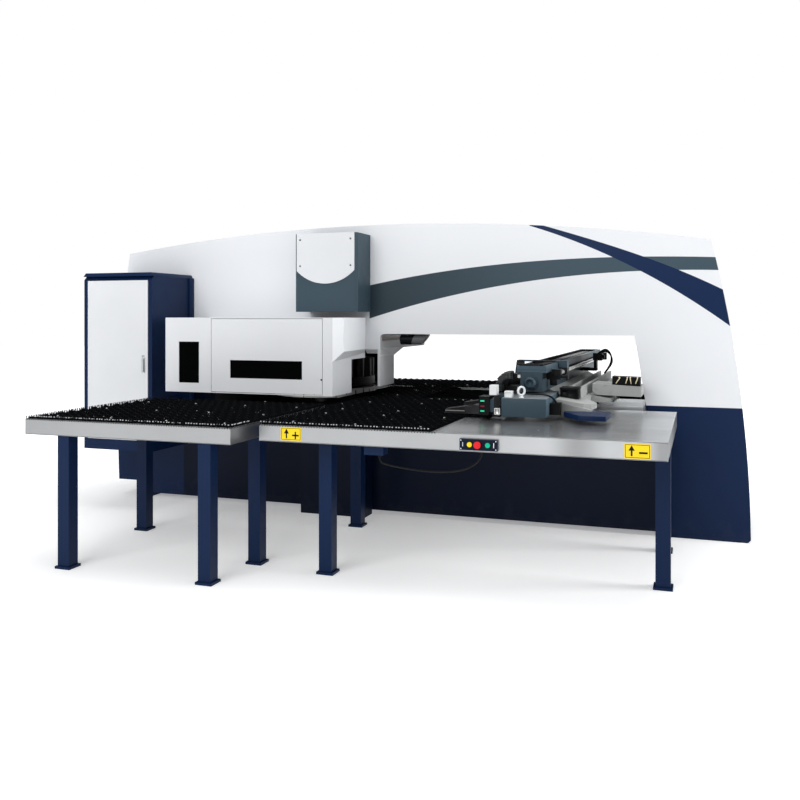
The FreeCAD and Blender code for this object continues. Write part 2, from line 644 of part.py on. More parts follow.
def make_die_hood():
    """Two flared sheet hoods over the opening beside the turrets, and the nose panel that
    hangs from the lintel between them and the throat."""
    wall = "hood_sheet"
    shells = []
    for name, left, right, front, rear, top in (
            ("brow", "cover_right", "cover_right", "1100", "621", "hood_top - 25"),
            ("lintel_brow", "bay_right", "throat_left", "frame_depth / 2", "-18", "hood_top")):
        flare = "hood_flare"
        bottom = top + " - hood_height"
        nudge = flare if name == "lintel_brow" else "hood_lead"
        outer = frustum(name + "_outer",
                        ((left, right + " + " + flare), (ahead(front + " + " + nudge), ahead(rear + " + hood_lead"))),
                        ((left, right + " + 2"), (ahead(front), ahead(rear))), bottom, top)
        inner = frustum(name + "_inner",
                        ((left + " - 50", right + " + %s - %s" % (flare, wall)),
                         (ahead(front + " + %s - %s" % (nudge, wall)), ahead(rear + " + hood_lead - 90"))),
                        ((left + " - 50", right + " + 2 - " + wall), (ahead(front + " - " + wall), ahead(rear + " - 90"))),
                        bottom, top)
        shells.append(cut(name, outer, inner))
    solid = block("lintel_space", ("bay_right - 100", "throat_left"), (FRONT_FACE, REAR_FACE),
                  ("bay_lintel", "throat_top"))
    keep("die_hoods", group("die_hoods", shells[0], cut("lintel_hood", shells[1], solid)))
    keep("nose_panel", block("nose_panel", ("throat_left - 20", "throat_left"),
                             (FRONT_FACE, FRONT_FACE + " + nose_depth"), ("nose_bottom", "bay_lintel")))

    barrel = rod("lamp_barrel", "X", ("20", FRONT_FACE + " + 90", "throat_top - 45"), "255", "42")
    slant = body("lamp_slant")
    wedge = [("160", "1340"), ("300", "1340"), ("300", "1480"), ("275", "1480")]
    pad(slant, sketch(slant, "XZ_Plane", wedge), "200", "Symmetric")
    put(slant, "0", FRONT_FACE + " + 90")
    hook = block("lamp_hook", ("30", "120"), (FRONT_FACE + " + 60", FRONT_FACE + " + 120"),
                 ("throat_top - 20", "throat_top"))
    keep("work_lamp", cut("work_lamp", fuse("lamp_whole", barrel, hook), slant))

    sheet_wall = "5"
    plates, hollows = [], []
    for part, right, bottom in (("tall", "rear_left - 10", "bay_floor - 20"), ("short", "guard_right", "guard_low")):
        plates.append(block("guard_" + part, ("bay_left - 30", right), (REAR_FACE, REAR_FACE + " + 30"),
                            (bottom, "bay_top + 40")))
        hollows.append(block("guard_hollow_" + part, ("bay_left - 30 + " + sheet_wall, right + " - " + sheet_wall),
                             (REAR_FACE, REAR_FACE + " + 30 - " + sheet_wall),
                             (bottom + " + " + sheet_wall, "bay_top + 40 - " + sheet_wall)))
    keep("rear_guard", cut("rear_guard", fuse("guard_whole", *plates), *hollows))


# ---------------------------------------------------------------- electrical cabinet

CABINET_RIGHT = "(cabinet_left + cabinet_width)"
CABINET_FRONT = FRONT_FACE + " - cabinet_depth"


def make_cabinet():
    outer = block("cabinet_outer", ("cabinet_left", CABINET_RIGHT), (CABINET_FRONT, FRONT_FACE),
                  ("cabinet_bottom", "cabinet_top"))
    inner = block("cabinet_inner", ("cabinet_left + cabinet_wall", CABINET_RIGHT + " - cabinet_wall"),
                  (CABINET_FRONT + " + cabinet_wall", FRONT_FACE + " - cabinet_wall"),
                  ("cabinet_bottom + cabinet_wall", "cabinet_top - cabinet_wall"))
    doorway = block("cabinet_doorway", ("cabinet_left + cabinet_frame", CABINET_RIGHT + " - cabinet_frame"),
                    (CABINET_FRONT, CABINET_FRONT + " + cabinet_wall"),
                    ("cabinet_bottom + cabinet_sill", "cabinet_top - cabinet_frame"))
    slants = []
    for name, size, edge in (("roof_bevel", "roof_slant", "0"), ("roof_inner_bevel", "roof_slant - 2", "cabinet_wall")):
        slant = body(name)
        corner = [("0", "0"), ("0", "-(%s)" % size), (size, "0")]
        pad(slant, sketch(slant, "YZ_Plane", corner), "cabinet_width")
        slants.append(put(slant, "cabinet_left", CABINET_FRONT + " + " + edge, "cabinet_top - " + edge))
    shell = cut("cabinet_shell", cut("cabinet_bevelled", outer, slants[0]), cut("cabinet_room", inner, slants[1]),
                doorway)
    edge = "cabinet_left + cabinet_frame + cabinet_seam"
    hinges = []
    for index, height in enumerate(("cabinet_bottom + cabinet_sill + 140", "cabinet_top - cabinet_frame - 230")):
        hinges.append(rod("cabinet_hinge_%d" % index, "Z",
                          (edge + " - hinge_radius - pin_gap", CABINET_FRONT + " - hinge_radius", height),
                          "90", "hinge_radius"))
        hinges.append(block("cabinet_leaf_%d" % index,
                            (edge + " - hinge_radius - pin_gap - 20", edge + " - hinge_radius - pin_gap"),
                            (CABINET_FRONT + " - 3", CABINET_FRONT), (height, height + " + 90")))
    keep("cabinet_body", fuse("cabinet_body", shell, *hinges))

    face = block("cabinet_door_face",
                 (edge, CABINET_RIGHT + " - cabinet_frame - cabinet_seam"),
                 (CABINET_FRONT + " - 4", CABINET_FRONT + " - 4 + cabinet_door_thick"),
                 ("cabinet_bottom + cabinet_sill + cabinet_seam", "cabinet_top - cabinet_frame - cabinet_seam"))
    hollow = block("cabinet_door_hollow",
                   (edge + " + 4", CABINET_RIGHT + " - cabinet_frame - cabinet_seam - 4"),
                   (CABINET_FRONT, CABINET_FRONT + " - 4 + cabinet_door_thick"),
                   ("cabinet_bottom + cabinet_sill + cabinet_seam + 4", "cabinet_top - cabinet_frame - cabinet_seam - 4"))
    keep("cabinet_door", cut("cabinet_door", face, hollow))

    plate = block("lock_plate", (CABINET_RIGHT + " - 90", CABINET_RIGHT + " - 66"),
                  (CABINET_FRONT + " - 12", CABINET_FRONT + " - 4.3"), ("1150", "1280"))
    grip = block("lock_grip", (CABINET_RIGHT + " - 86", CABINET_RIGHT + " - 70"),
                 (CABINET_FRONT + " - 26", CABINET_FRONT + " - 12"), ("1156", "1262"))
    keep("cabinet_lock", fuse("cabinet_lock", plate, grip))

    back = block("mounting_plate", ("cabinet_left + 40", CABINET_RIGHT + " - 40"),
                 (FRONT_FACE + " - cabinet_wall - 12", FRONT_FACE + " - cabinet_wall"),
                 ("cabinet_bottom + 60", "cabinet_top - 60"))
    units = [back]
    for level, (height, width, depth, count) in enumerate(((330, 130, 240, 4), (260, 100, 190, 5), (180, 180, 150, 3))):
        bottom = number("cabinet_bottom + 95 + %d * (cabinet_top - cabinet_bottom - 180) / 3" % level)
        for index in range(int(count)):
            step = number("cabinet_width - 120") / count
            left = "cabinet_left + 60 + %s" % (index * step)
            units.append(block("drive_%d_%d" % (level, index), (left, left + " + %s" % min(width, step - 8)),
                               (FRONT_FACE + " - cabinet_wall - 12 - %s" % depth, FRONT_FACE + " - cabinet_wall - 12"),
                               (str(bottom), str(bottom + height))))
    keep("cabinet_drives", group("cabinet_drives", *units))


# ---------------------------------------------------------------- tables

def hollow_deck(name, plan, inset_plan):
    """A folded sheet deck: a flat top with an apron all round, open underneath."""
    deck = body(name)
    pad(deck, sketch(deck, "XY_Plane", plan), "apron_height")
    hollow = sketch(deck, "XY_Plane", inset_plan)
    pocket(deck, hollow, "apron_height - apron_wall", reverse=True)
    put(deck, "0", "mid", "deck_height - apron_height")
    return deck


def inset(plan, signs):
    """The same corners moved inwards by the sheet's thickness."""
    return [("%s %s apron_wall" % (x, sx), "%s %s apron_wall" % (y, sy)) for (x, y), (sx, sy) in zip(plan, signs)]


def make_tables():
    plan = rectangle(("left_table_left", "left_table_right"), ("-front_reach", "-left_table_rear"))
    corners = (("+", "+"), ("-", "+"), ("-", "-"), ("+", "-"))
    keep("left_table", hollow_deck("left_table", plan, inset(plan, corners)))

    plan = [("centre_left", "-centre_front"), ("centre_right", "-centre_front"), ("centre_right", "-centre_rear"),
            ("brush_wide", "-centre_rear"), ("brush_wide", "-frame_depth / 2"),
            ("centre_left", "-frame_depth / 2")]
    corners = (("+", "+"), ("-", "+"), ("-", "-"), ("-", "-"), ("-", "-"), ("+", "-"))
    keep("centre_table", hollow_deck("centre_table", plan, inset(plan, corners)))

    plan = [("rear_left", "frame_depth / 2"), ("brush_wide", "frame_depth / 2"),
            ("brush_wide", "centre_rear"), ("centre_right", "centre_rear"), ("centre_right", "rear_table_end"),
            ("rear_left", "rear_table_end")]
    corners = (("+", "+"), ("-", "+"), ("-", "+"), ("-", "+"), ("-", "-"), ("+", "-"))
    keep("rear_table", hollow_deck("rear_table", plan, inset(plan, corners)))


def make_throat_deck():
    """The strip of deck inside the throat, on ribs that stand on the rail base and on the
    throat's floor, with a slot over the lower ball screw."""
    deck_low = "deck_height - 12"
    left = block("deck_left", ("centre_left", "rail_left - 20"), (FRONT_FACE, REAR_FACE), (deck_low, "deck_height"))
    front = block("deck_front", ("rail_left - 20", "base_right"),
                  (ahead("rail_spread - runner_width / 2 - 10"), ahead("slot_half")), (deck_low, "deck_height"))
    rear = block("deck_rear", ("rail_left - 20", "base_right"),
                 (behind("slot_half"), behind("rail_spread - runner_width / 2 - 10")), (deck_low, "deck_height"))
    wall = block("deck_wall", ("centre_left", "centre_left + 12"), (FRONT_FACE, REAR_FACE),
                 ("throat_floor", deck_low))
    ribs = [block("deck_rib_%d" % index, ("rail_left - 20", "base_right"), (low, high),
                  ("throat_floor + base_height", deck_low))
            for index, (low, high) in enumerate((
                (ahead("slot_half + 12"), ahead("slot_half")), (behind("slot_half"), behind("slot_half + 12"))))]
    keep("throat_deck", fuse("throat_deck", left, front, rear, wall, *ribs))


def brush_strip(left, right, y, foot, tip):
    """A strip with a saw-toothed upper edge: a base with one pointed tuft per pitch."""
    pitch = number("tuft_pitch")
    count = max(int((right - left) / pitch), 1)
    step = (right - left) / count
    base = foot + number("brush_base")
    corners = [(left, foot)]
    for index in range(count):
        start = left + index * step
        corners += [(start, base), (start + step / 2, tip)]
    corners += [(right, base), (right, foot)]
    points = [FreeCAD.Vector(x, y, z) for x, z in corners]
    face = Part.Face(Part.makePolygon(points + points[:1]))
    return face.extrude(FreeCAD.Vector(0, number("brush_thick"), 0))


BRUSH_FIELDS = (
    # left, right, front and rear edge; the last two behind the mid plane
    ("left_table_left", "left_table_right", "-front_reach", "-left_table_rear"),
    ("centre_left", "brush_right", "-centre_front", "-brush_turn"),
    ("centre_left", "brush_wide", "-brush_turn", "-frame_depth / 2 - 40"),
    ("centre_left", "rail_left - 20", "-frame_depth / 2 + 30", "frame_depth / 2 - 30"),
    ("rear_left", "brush_wide", "frame_depth / 2 + 40", "rear_table_end"),
)


def brush_rows(field):
    """Where the strips of a brush field lie, from the mid plane."""
    front, rear = number(field[2]), number(field[3])
    margin = number("brush_margin")
    first = front + margin
    last = rear - margin - number("brush_thick")
    count = max(int((last - first) / number("brush_pitch")), 1)
    return [first + (last - first) * row / count for row in range(count + 1)]


def make_brushes():
    """Rows of tufted strips on the tables and the throat deck."""
    foot = number("deck_height")
    tip = foot + number("brush_height")
    margin = number("brush_margin")
    strips = []
    for field in BRUSH_FIELDS:
        for y in brush_rows(field):
            strips.append(brush_strip(number(field[0]) + margin, number(field[1]) - margin,
                                      number("mid") + y, foot, tip))
    item = doc.addObject("Part::Feature", "brush_strips")
    item.Shape = Part.makeCompound(strips)
    keep("brush_strips", item)


def make_casters():
    """Ball casters between the brush strips: a flange with a ball that stands out of it,
    just above the brush tips."""
    profile = body("caster")
    tip = "brush_height + 1"
    outline = [("0", "0"), ("caster_radius", "0"), ("caster_radius", "5"), ("caster_ball", "9"),
               ("5", tip), ("0", tip)]
    turn = profile.newObject("PartDesign::Revolution", "caster_turn")
    turn.Profile = sketch(profile, "XZ_Plane", outline)
    turn.ReferenceAxis = (origin_plane(profile, "Z_Axis"), [""])
    turn.Angle = 360
    doc.recompute()
    copies = []
    for field in BRUSH_FIELDS:
        rows = brush_rows(field)
        first = number(field[0] + " + caster_inset")
        columns = int((number(field[1]) - first) / number("caster_pitch"))
        for row, (near, far) in enumerate(list(zip(rows, rows[1:]))[::4]):
            for column in range(columns + 1):
                copy = doc.addObject("Part::Feature", "caster_%d_%d_%d" % (len(copies), row, column))
                copy.Shape = profile.Shape.copy()
                put(copy, "%s + caster_pitch * %d" % (field[0] + " + caster_inset", column),
                    "mid + %s + brush_thick / 2" % ((near + far) / 2), "deck_height")
                copies.append(copy)
    keep("ball_casters", group("ball_casters", *copies))


def make_stands():
    """Square legs with foot plates, and the tubes that join them under the decks."""
    solids = []
    top = "deck_height - apron_height"
    half = "leg_width / 2"
    for index, (x, y) in enumerate(TABLE_LEGS):
        tube = block("leg_%d" % index, (x + " - " + half, x + " + " + half),
                     (ahead(y + " + " + half), ahead(y + " - " + half)),
                     ("leg_foot_thick", "deck_height - apron_wall"))
        foot = block("foot_%d" % index, (x + " - leg_foot / 2", x + " + leg_foot / 2"),
                     (ahead(y + " + leg_foot / 2"), ahead(y + " - leg_foot / 2")), ("0", "leg_foot_thick"))
        solids.append(fuse("stand_%d" % index, tube, foot))
    low_row = TABLE_LEGS[6][1]
    bearers = [block("bearer_front", (TABLE_LEGS[4][0] + " + " + half, TABLE_LEGS[6][0] + " - " + half),
                     (ahead(low_row + " + bearer_width / 2"), ahead(low_row + " - bearer_width / 2")),
                     (top + " - bearer_height", top))]
    bearers.append(block("bearer_side", (TABLE_LEGS[6][0] + " - bearer_width / 2", TABLE_LEGS[6][0] + " + bearer_width / 2"),
                         (ahead(low_row + " - " + half), ahead("centre_rear + 70 + " + half)),
                         (top + " - bearer_height", top)))
    links = [block("table_link_%d" % index, ("left_table_right", "centre_left"), (ahead(low + " + 80"), ahead(low)),
                   (top + " + 12", "deck_height - 24"))
             for index, low in enumerate(("front_reach - 422", "left_table_rear + 160"))]
    keep("table_stands", group("table_stands", *(solids + bearers + links)))


# ---------------------------------------------------------------- rails in the throat

def make_rail_base():
    floor = "throat_floor"
    top = "throat_floor + base_height"
    base = block("base_block", ("base_left", "base_right - 20"), (FRONT_FACE, REAR_FACE), (floor, top))
    trough = block("base_trough", ("base_left", "base_right - 20"),
                   (ahead("slot_half - 20"), behind("slot_half - 20")), (floor + " + 20", top))
    keep("rail_base", cut("rail_base", base, trough))

    covers = []
    for side, low, high in (("front", FRONT_FACE + " - skirt_depth", FRONT_FACE),
                            ("rear", REAR_FACE, REAR_FACE + " + skirt_depth")):
        shell = block("skirt_" + side, ("skirt_left", "base_right"), (low, high),
                      ("deck_height - apron_height", "skirt_top"))
        groove_at = low if side == "front" else high + " - 14"
        groove = block("groove_" + side, ("skirt_left", "base_right"), (groove_at, groove_at + " + 14"),
                       ("968", "988"))
        covers.append(cut("rail_cover_" + side, shell, groove))
    keep("rail_covers", group("rail_covers", *covers))

    rails = [block("rail_" + name, ("rail_left", "base_right - 30"), (low, high), (top, top + " + rail_height"))
             for name, low, high in (
                 ("front", ahead("rail_spread + rail_width / 2"), ahead("rail_spread - rail_width / 2")),
                 ("rear", behind("rail_spread - rail_width / 2"), behind("rail_spread + rail_width / 2")))]
    keep("guide_rails", group("guide_rails", *rails))

    axis = "throat_floor + 65"
    keep("lower_screw", rod("lower_screw", "X", ("base_left + 120", "mid", axis),
                            "base_right - base_left - 160", "lower_screw_radius"))
    motor = rod("lower_motor_can", "X", ("base_left + 10", "mid", axis), "80", "44")
    flange = block("lower_motor_flange", ("base_left + 90", "base_left + 112"),
                   (ahead("50"), behind("50")), (axis + " - 45", axis + " + 35"))
    bore = rod("lower_motor_bore", "X", ("base_left + 90", "mid", axis), "22", "lower_screw_radius + screw_fit")
    keep("lower_motor", cut("lower_motor", fuse("lower_motor_whole", motor, flange), bore))


# ---------------------------------------------------------------- saddle and cross beam

def make_saddle():
    """One casting that slopes down to the right, with a wing in front of the frame."""
    slope = [("beam_x - beam_width / 2", "saddle_bottom"), ("saddle_right", "saddle_bottom"),
             ("saddle_right", "saddle_low"), ("wing_left", "saddle_high"), ("beam_x + beam_width / 2", "beam_bottom"),
             ("beam_x - beam_width / 2", "beam_bottom")]
    rear = body("saddle_main")
    pad(rear, sketch(rear, "XZ_Plane", slope), "saddle_front + saddle_rear")
    put(rear, "0", behind("saddle_rear"))
    edge = [("wing_left", "saddle_bottom"), ("saddle_right", "saddle_bottom"), ("saddle_right", "saddle_low"),
            ("wing_left", "saddle_high")]
    wing = body("saddle_wing")
    pad(wing, sketch(wing, "XZ_Plane", edge), "beam_front - saddle_front")
    put(wing, "0", ahead("saddle_front"))
    keep("saddle", fuse("saddle", rear, wing))

    keep("saddle_foot", block("saddle_foot", ("wing_left", "foot_right"), (ahead("beam_front + 20"), ahead("foot_rear")),
                              ("foot_bottom", "saddle_bottom")))

    runners = []
    for index, x in enumerate(RUNNER_STATIONS):
        for side in (-1, 1):
            middle = "mid + %d * rail_spread" % side
            shoe = block("shoe_%d_%d" % (index, side + 1), ("%d - runner_length / 2" % x, "%d + runner_length / 2" % x),
                         (middle + " - runner_width / 2", middle + " + runner_width / 2"),
                         ("throat_floor + base_height + 12", "saddle_bottom"))
            way = block("shoe_way_%d_%d" % (index, side + 1),
                        ("%d - runner_length / 2" % x, "%d + runner_length / 2" % x),
                        (middle + " - rail_width / 2 - runner_fit", middle + " + rail_width / 2 + runner_fit"),
                        ("throat_floor + base_height", "throat_floor + base_height + rail_height + runner_fit"))
            runners.append(cut("runner_%d_%d" % (index, side + 1), shoe, way))
    axis = "throat_floor + 65"
    nut = block("lower_nut_block", ("1470", "1560"), (ahead("45"), behind("45")), (axis + " - 30", "saddle_bottom"))
    bore = rod("lower_nut_bore", "X", ("1470", "mid", axis), "90", "lower_screw_radius + screw_fit")
    runners.append(cut("lower_nut", nut, bore))
    keep("saddle_runners", group("saddle_runners", *runners))

    trunk = [("1475", "saddle_high - 12"), ("1575", "saddle_high - 12"), ("1575", "1125"), ("1555", "1125"),
             ("1555", "1080"), ("1487", "1080"), ("1487", "1125"), ("1475", "1125")]
    seat = [("1475", "saddle_low"), ("1575", "saddle_low"), ("1575", "saddle_high - 12"), ("1475", "saddle_high - 12")]
    duct = body("duct")
    pad(duct, sketch(duct, "XZ_Plane", trunk), "saddle_front + saddle_rear - 40")
    put(duct, "0", behind("saddle_rear - 20"))
    foot = body("duct_seat")
    pad(foot, sketch(foot, "XZ_Plane", seat), "saddle_front + saddle_rear - 40")
    put(foot, "0", behind("saddle_rear - 20"))
    keep("cable_duct", cut("cable_duct", fuse("duct_whole", duct, foot), rear))


def make_beam():
    """Box beam with an open trough on top, closed at its ends, and a bearing cap in front."""
    half = "beam_width / 2"
    lip = "trough_width / 2"
    length = "beam_front + rear_reach"
    section = [("-" + half, "beam_bottom"), (half, "beam_bottom"), (half, "beam_shoulder"), (lip, "beam_shoulder"),
               (lip, "beam_top"), ("-" + lip, "beam_top"), ("-" + lip, "beam_shoulder"), ("-" + half, "beam_shoulder")]
    beam = body("beam_bar")
    pad(beam, sketch(beam, "XZ_Plane", section), length)
    put(beam, "beam_x", behind("rear_reach"))
    trough = block("beam_trough", ("beam_x - trough_width / 2 + trough_wall", "beam_x + trough_width / 2 - trough_wall"),
                   (ahead("beam_front - trough_wall"), behind("rear_reach - trough_wall")),
                   ("beam_shoulder + 4", "beam_top"))
    cap = rod("beam_cap", "Y", ("beam_x - 3", ahead("beam_front + 12"), "1175"), "12", "46")
    boss = rod("beam_boss", "Y", ("beam_x - 3", ahead("beam_front + 20"), "1175"), "8", "34")
    keep("cross_beam", fuse("cross_beam", cut("beam_open", beam, trough), cap, boss))

    rails = [block("beam_rail_%d" % index, ("beam_x - beam_width / 2 - 20", "beam_x - beam_width / 2"),
                   (ahead("beam_front - 10"), behind("rear_reach - 10")), (low, low + " + 20"))
             for index, low in enumerate(("beam_bottom + 8", "beam_shoulder - 34"))]
    keep("beam_rails", group("beam_rails", *rails))

    hood = block("motor_hood", ("motor_cover_left", "motor_cover_right"),
                 (ahead("motor_cover_front"), ahead("saddle_front + 2")), ("foot_bottom", "motor_cover_top"))
    rest = block("motor_rest", ("beam_x - 60", "beam_x + 60"), (ahead("beam_front - 20"), ahead("saddle_front + 2")),
                 ("motor_cover_top", "beam_bottom"))
    keep("motor_cover", fuse("motor_cover", hood, rest))

    eye = body("eye_ring")
    ring = [("16", "-2.5"), ("19.5", "-6"), ("24.5", "-6"), ("28", "-2.5"), ("28", "2.5"), ("24.5", "6"),
            ("19.5", "6"), ("16", "2.5")]
    turn = eye.newObject("PartDesign::Revolution", "eye_turn")
    turn.Profile = sketch(eye, "XZ_Plane", ring)
    turn.ReferenceAxis = (origin_plane(eye, "Z_Axis"), [""])
    turn.Angle = 360
    doc.recompute()
    eye.Placement = FreeCAD.Placement(FreeCAD.Vector(), TURNS["Y"])
    put(eye, "1275", ahead("motor_cover_front - 40"), "motor_cover_top + 36")
    shank = rod("eye_shank", "Z", ("1275", ahead("motor_cover_front - 40"), "motor_cover_top"), "16", "9")
    keep("lifting_eye", fuse("lifting_eye", eye, shank))

    bearings = []
    for name, start in (("front", ahead("front_bearing + bearing_length")), ("rear", behind("rear_bearing"))):
        house = block("bearing_" + name, ("beam_x + beam_width / 2", "upper_screw_x + bearing_half"),
                      (start, start + " + bearing_length"),
                      ("upper_screw_z - bearing_half", "beam_shoulder"))
        ear = block("bearing_ear_" + name, ("upper_screw_x - 23", "upper_screw_x + bearing_half"),
                    (start, start + " + bearing_length"), ("beam_shoulder", "upper_screw_z + bearing_half"))
        bore = rod("bearing_bore_" + name, "Y", ("upper_screw_x", start, "upper_screw_z"), "bearing_length",
                   "upper_screw_radius + screw_fit")
        bearings.append(cut("screw_bearing_" + name, fuse("bearing_house_" + name, house, ear), bore))
    keep("screw_bearings", group("screw_bearings", *bearings))

    keep("upper_screw", rod("upper_screw", "Y", ("upper_screw_x", ahead("front_bearing + bearing_length"), "upper_screw_z"),
                            "front_bearing + rear_bearing + 2 * bearing_length", "upper_screw_radius"))


def make_chains():
    """The energy chain that lies in the beam's trough, link behind link."""
    pitch = 74
    count = int((number("beam_front + rear_reach") - 160) / pitch)
    links = []
    for index in range(count):
        start = ahead("beam_front - 60 - %d" % (index * pitch))
        links.append(block("link_%d" % index, ("beam_x - 60", "beam_x + 60"), (start, start + " + 66"),
                           ("beam_shoulder + 4", "beam_shoulder + 30")))
    links.append(block("link_spine", ("beam_x - 12", "beam_x + 12"),
                       (ahead("beam_front - 60"), ahead("beam_front - 60 - %d" % ((count - 1) * pitch))),
                       ("beam_shoulder + 30", "beam_shoulder + 34")))
    keep("energy_chain", group("energy_chain", *links))


def make_hose_tray():
    """Tray that carries the hoses over the right side of the saddle, with its valve block."""
    section = [("1612", "1080"), ("1640", "1055"), ("1944", "1048"), ("1944", "1118"), ("1612", "1134")]
    tray = body("hose_tray")
    pad(tray, sketch(tray, "XZ_Plane", section), "300")
    put(tray, "0", ahead("670"))
    stem = block("tray_stem", ("1620", "1720"), (ahead("860"), ahead("760")), ("saddle_bottom + 10", "1090"))
    slope = nodes["saddle"]
    keep("hose_tray", cut("hose_tray", fuse("tray_whole", tray, stem), slope))
    box = [("1745", "1128"), ("1935", "1119"), ("1935", "1180"), ("1745", "1185")]
    housing = body("hose_box")
    pad(housing, sketch(housing, "XZ_Plane", box), "120")
    put(housing, "0", ahead("820"))
    plug_box = block("plug_box", ("motor_cover_right", "motor_cover_right + 66"),
                     (ahead("beam_front + 120"), ahead("beam_front + 22")), ("985", "1058"))
    keep("hose_box", group("hose_box", cut("hose_housing", housing, tray), plug_box))


# ---------------------------------------------------------------- clamp carriage

def make_carriage():
    front = ahead("carriage_front")
    rear = ahead("carriage_front - carriage_length")
    plate = body("carriage_slab")
    profile = [("-carriage_front", "carriage_bottom"), ("carriage_length - carriage_front", "carriage_bottom"),
               ("carriage_length - carriage_front", "carriage_top"),
               ("-bridge_front - 10", "carriage_top"), ("-bridge_front - 70", "carriage_low + 90"),
               ("-bridge_front - 430", "carriage_low + 90"), ("-bridge_front - 480", "carriage_low"),
               ("-carriage_front", "carriage_low")]
    pad(plate, sketch(plate, "YZ_Plane", profile), "carriage_thick")
    put(plate, "carriage_face", "mid")
    runners = [block("carriage_runner_%d_%d" % (index, step), ("carriage_face + carriage_thick",
                                                              "beam_x - beam_width / 2 - 20 - runner_fit"),
                     (ahead("%d" % start), ahead("%d - 120" % start)), (low + " - 5", low + " + 25"))
               for index, low in enumerate(("beam_bottom + 8", "beam_shoulder - 34"))
               for step, start in enumerate((1590, 1170))]
    bridge = block("bridge", ("carriage_face", "upper_screw_x + 30"),
                   (ahead("bridge_front"), ahead("bridge_front - bridge_width")),
                   ("carriage_top", "carriage_top + bridge_thick"))
    drop = block("bridge_drop", ("beam_x + trough_width / 2 + 6", "upper_screw_x + 30"),
                 (ahead("bridge_front"), ahead("bridge_front - bridge_width")),
                 ("upper_screw_z", "carriage_top"))
    nut = rod("upper_nut", "Y", ("upper_screw_x", ahead("bridge_front"), "upper_screw_z"), "bridge_width", "nut_radius")
    bore = rod("upper_nut_bore", "Y", ("upper_screw_x", ahead("bridge_front"), "upper_screw_z"), "bridge_width",
               "upper_screw_radius + screw_fit")
    link = block("valve_link", ("1068", "carriage_face"), (ahead("carriage_front - 20"), ahead("carriage_front - 90")),
                 ("1000", "1080"))
    keep("carriage", cut("carriage", fuse("carriage_whole", plate, bridge, drop, nut, link, *runners), bore))

    clamps = []
    for name in ("front", "rear"):
        y = name + "_clamp"
        low, high = ahead(y + " + clamp_width / 2"), ahead(y + " - clamp_width / 2")
        tongue = block("tongue_" + name, ("carriage_face - clamp_reach", "carriage_face"), (low, high),
                       ("jaw_low", "pass_line - 1"))
        block_ = block("clamp_block_" + name, ("carriage_face - clamp_reach + jaw_length + 10", "carriage_face"),
                       (low, high), ("pass_line - 1", "clamp_top"))
        cheeks = [block("cheek_%s_%d" % (name, index),
                        ("carriage_face - clamp_reach + jaw_length - 45", "carriage_face - clamp_reach + jaw_length + 10"),
                        edges, ("pass_line - 1", "clamp_top - 8"))
                  for index, edges in enumerate(((low, low + " + jaw_cheek - pin_gap"),
                                                 (high + " - jaw_cheek + pin_gap", high)))]
        clamps.append(fuse("clamp_" + name, tongue, block_, *cheeks))
        arm = [("0", "0"), ("jaw_length", "0"), ("jaw_length", "26"), ("jaw_length - 60", "30"), ("0", "jaw_thick - 6")]
        jaw = body(name + "_jaw")
        pad(jaw, sketch(jaw, "XZ_Plane", arm), "clamp_width - 2 * jaw_cheek")
        put(jaw, "carriage_face - clamp_reach", ahead(y + " - clamp_width / 2 + jaw_cheek"), "pass_line + 1.5")
        keep(name + "_jaw", jaw)
    keep("clamps", group("clamps", *clamps))

    keep("valve_box", block("valve_box", ("1003", "1068"), (ahead("carriage_front"), ahead("carriage_front - 110")),
                            ("982", "1100")))
    keep("limit_boxes", group("limit_boxes", *[
        block("limit_box_%d" % index, (left, left + " + 46"), (ahead("carriage_front - 4"), ahead("carriage_front - 70")),
              (low, high))
        for index, (left, low, high) in enumerate((("carriage_face - 30", "carriage_low", "carriage_low + 62"),))]))


# ---------------------------------------------------------------- push buttons and cable

def make_buttons():
    apron = ahead("centre_front")
    front = apron + " - button_box_thick"
    case = block("button_case", ("button_box_left", "button_box_left + button_box_width"), (front, apron),
                 ("button_box_bottom", "button_box_bottom + button_box_height"))
    tools = []
    for name, x, radius in (("start", "start_x", "button_radius"), ("stop", "stop_x", "button_radius"),
                            ("reset", "reset_x", "button_radius")):
        tools.append(rod("well_" + name, "Y", (x, front, "button_height"), "16", radius + " + button_fit"))
    keep("button_box", cut("button_box", case, *tools))
    for name, x in (("start", "start_x"), ("reset", "reset_x")):
        keep(name + "_button", rod(name + "_button", "Y", (x, front + " - 6", "button_height"), "16", "button_radius"))
    stem = rod("stop_stem", "Y", ("stop_x", front + " - 8", "button_height"), "18", "button_radius")
    head = rod("stop_head", "Y", ("stop_x", front + " - 20", "button_height"), "13", "mushroom_radius")
    keep("stop_button", fuse("stop_button", stem, head))

    keep("junction_box", block("junction_box", ("456", "577"), (ahead("2450"), ahead("2370")),
                               ("790", "deck_height - apron_height")))
    make_cable()


def smooth_path(corners):
    """Straight runs joined by tangent arcs as large as the runs allow."""
    edges = []
    at = corners[0]
    for before, corner, after in zip(corners, corners[1:], corners[2:]):
        inward = (corner - before).normalize()
        outward = (after - corner).normalize()
        turn = inward.getAngle(outward)
        run = min((corner - before).Length, (after - corner).Length)
        reach = 0.45 * run
        radius = reach / math.tan(turn / 2)
        start = corner - inward * reach
        stop = corner + outward * reach
        bisector = (outward - inward).normalize()
        centre = corner + bisector * math.hypot(radius, reach)
        middle = centre - bisector * radius
        edges.append(Part.LineSegment(at, start).toShape())
        edges.append(Part.Arc(start, middle, stop).toShape())
        at = stop
    edges.append(Part.LineSegment(at, corners[-1]).toShape())
    return Part.Wire(edges)


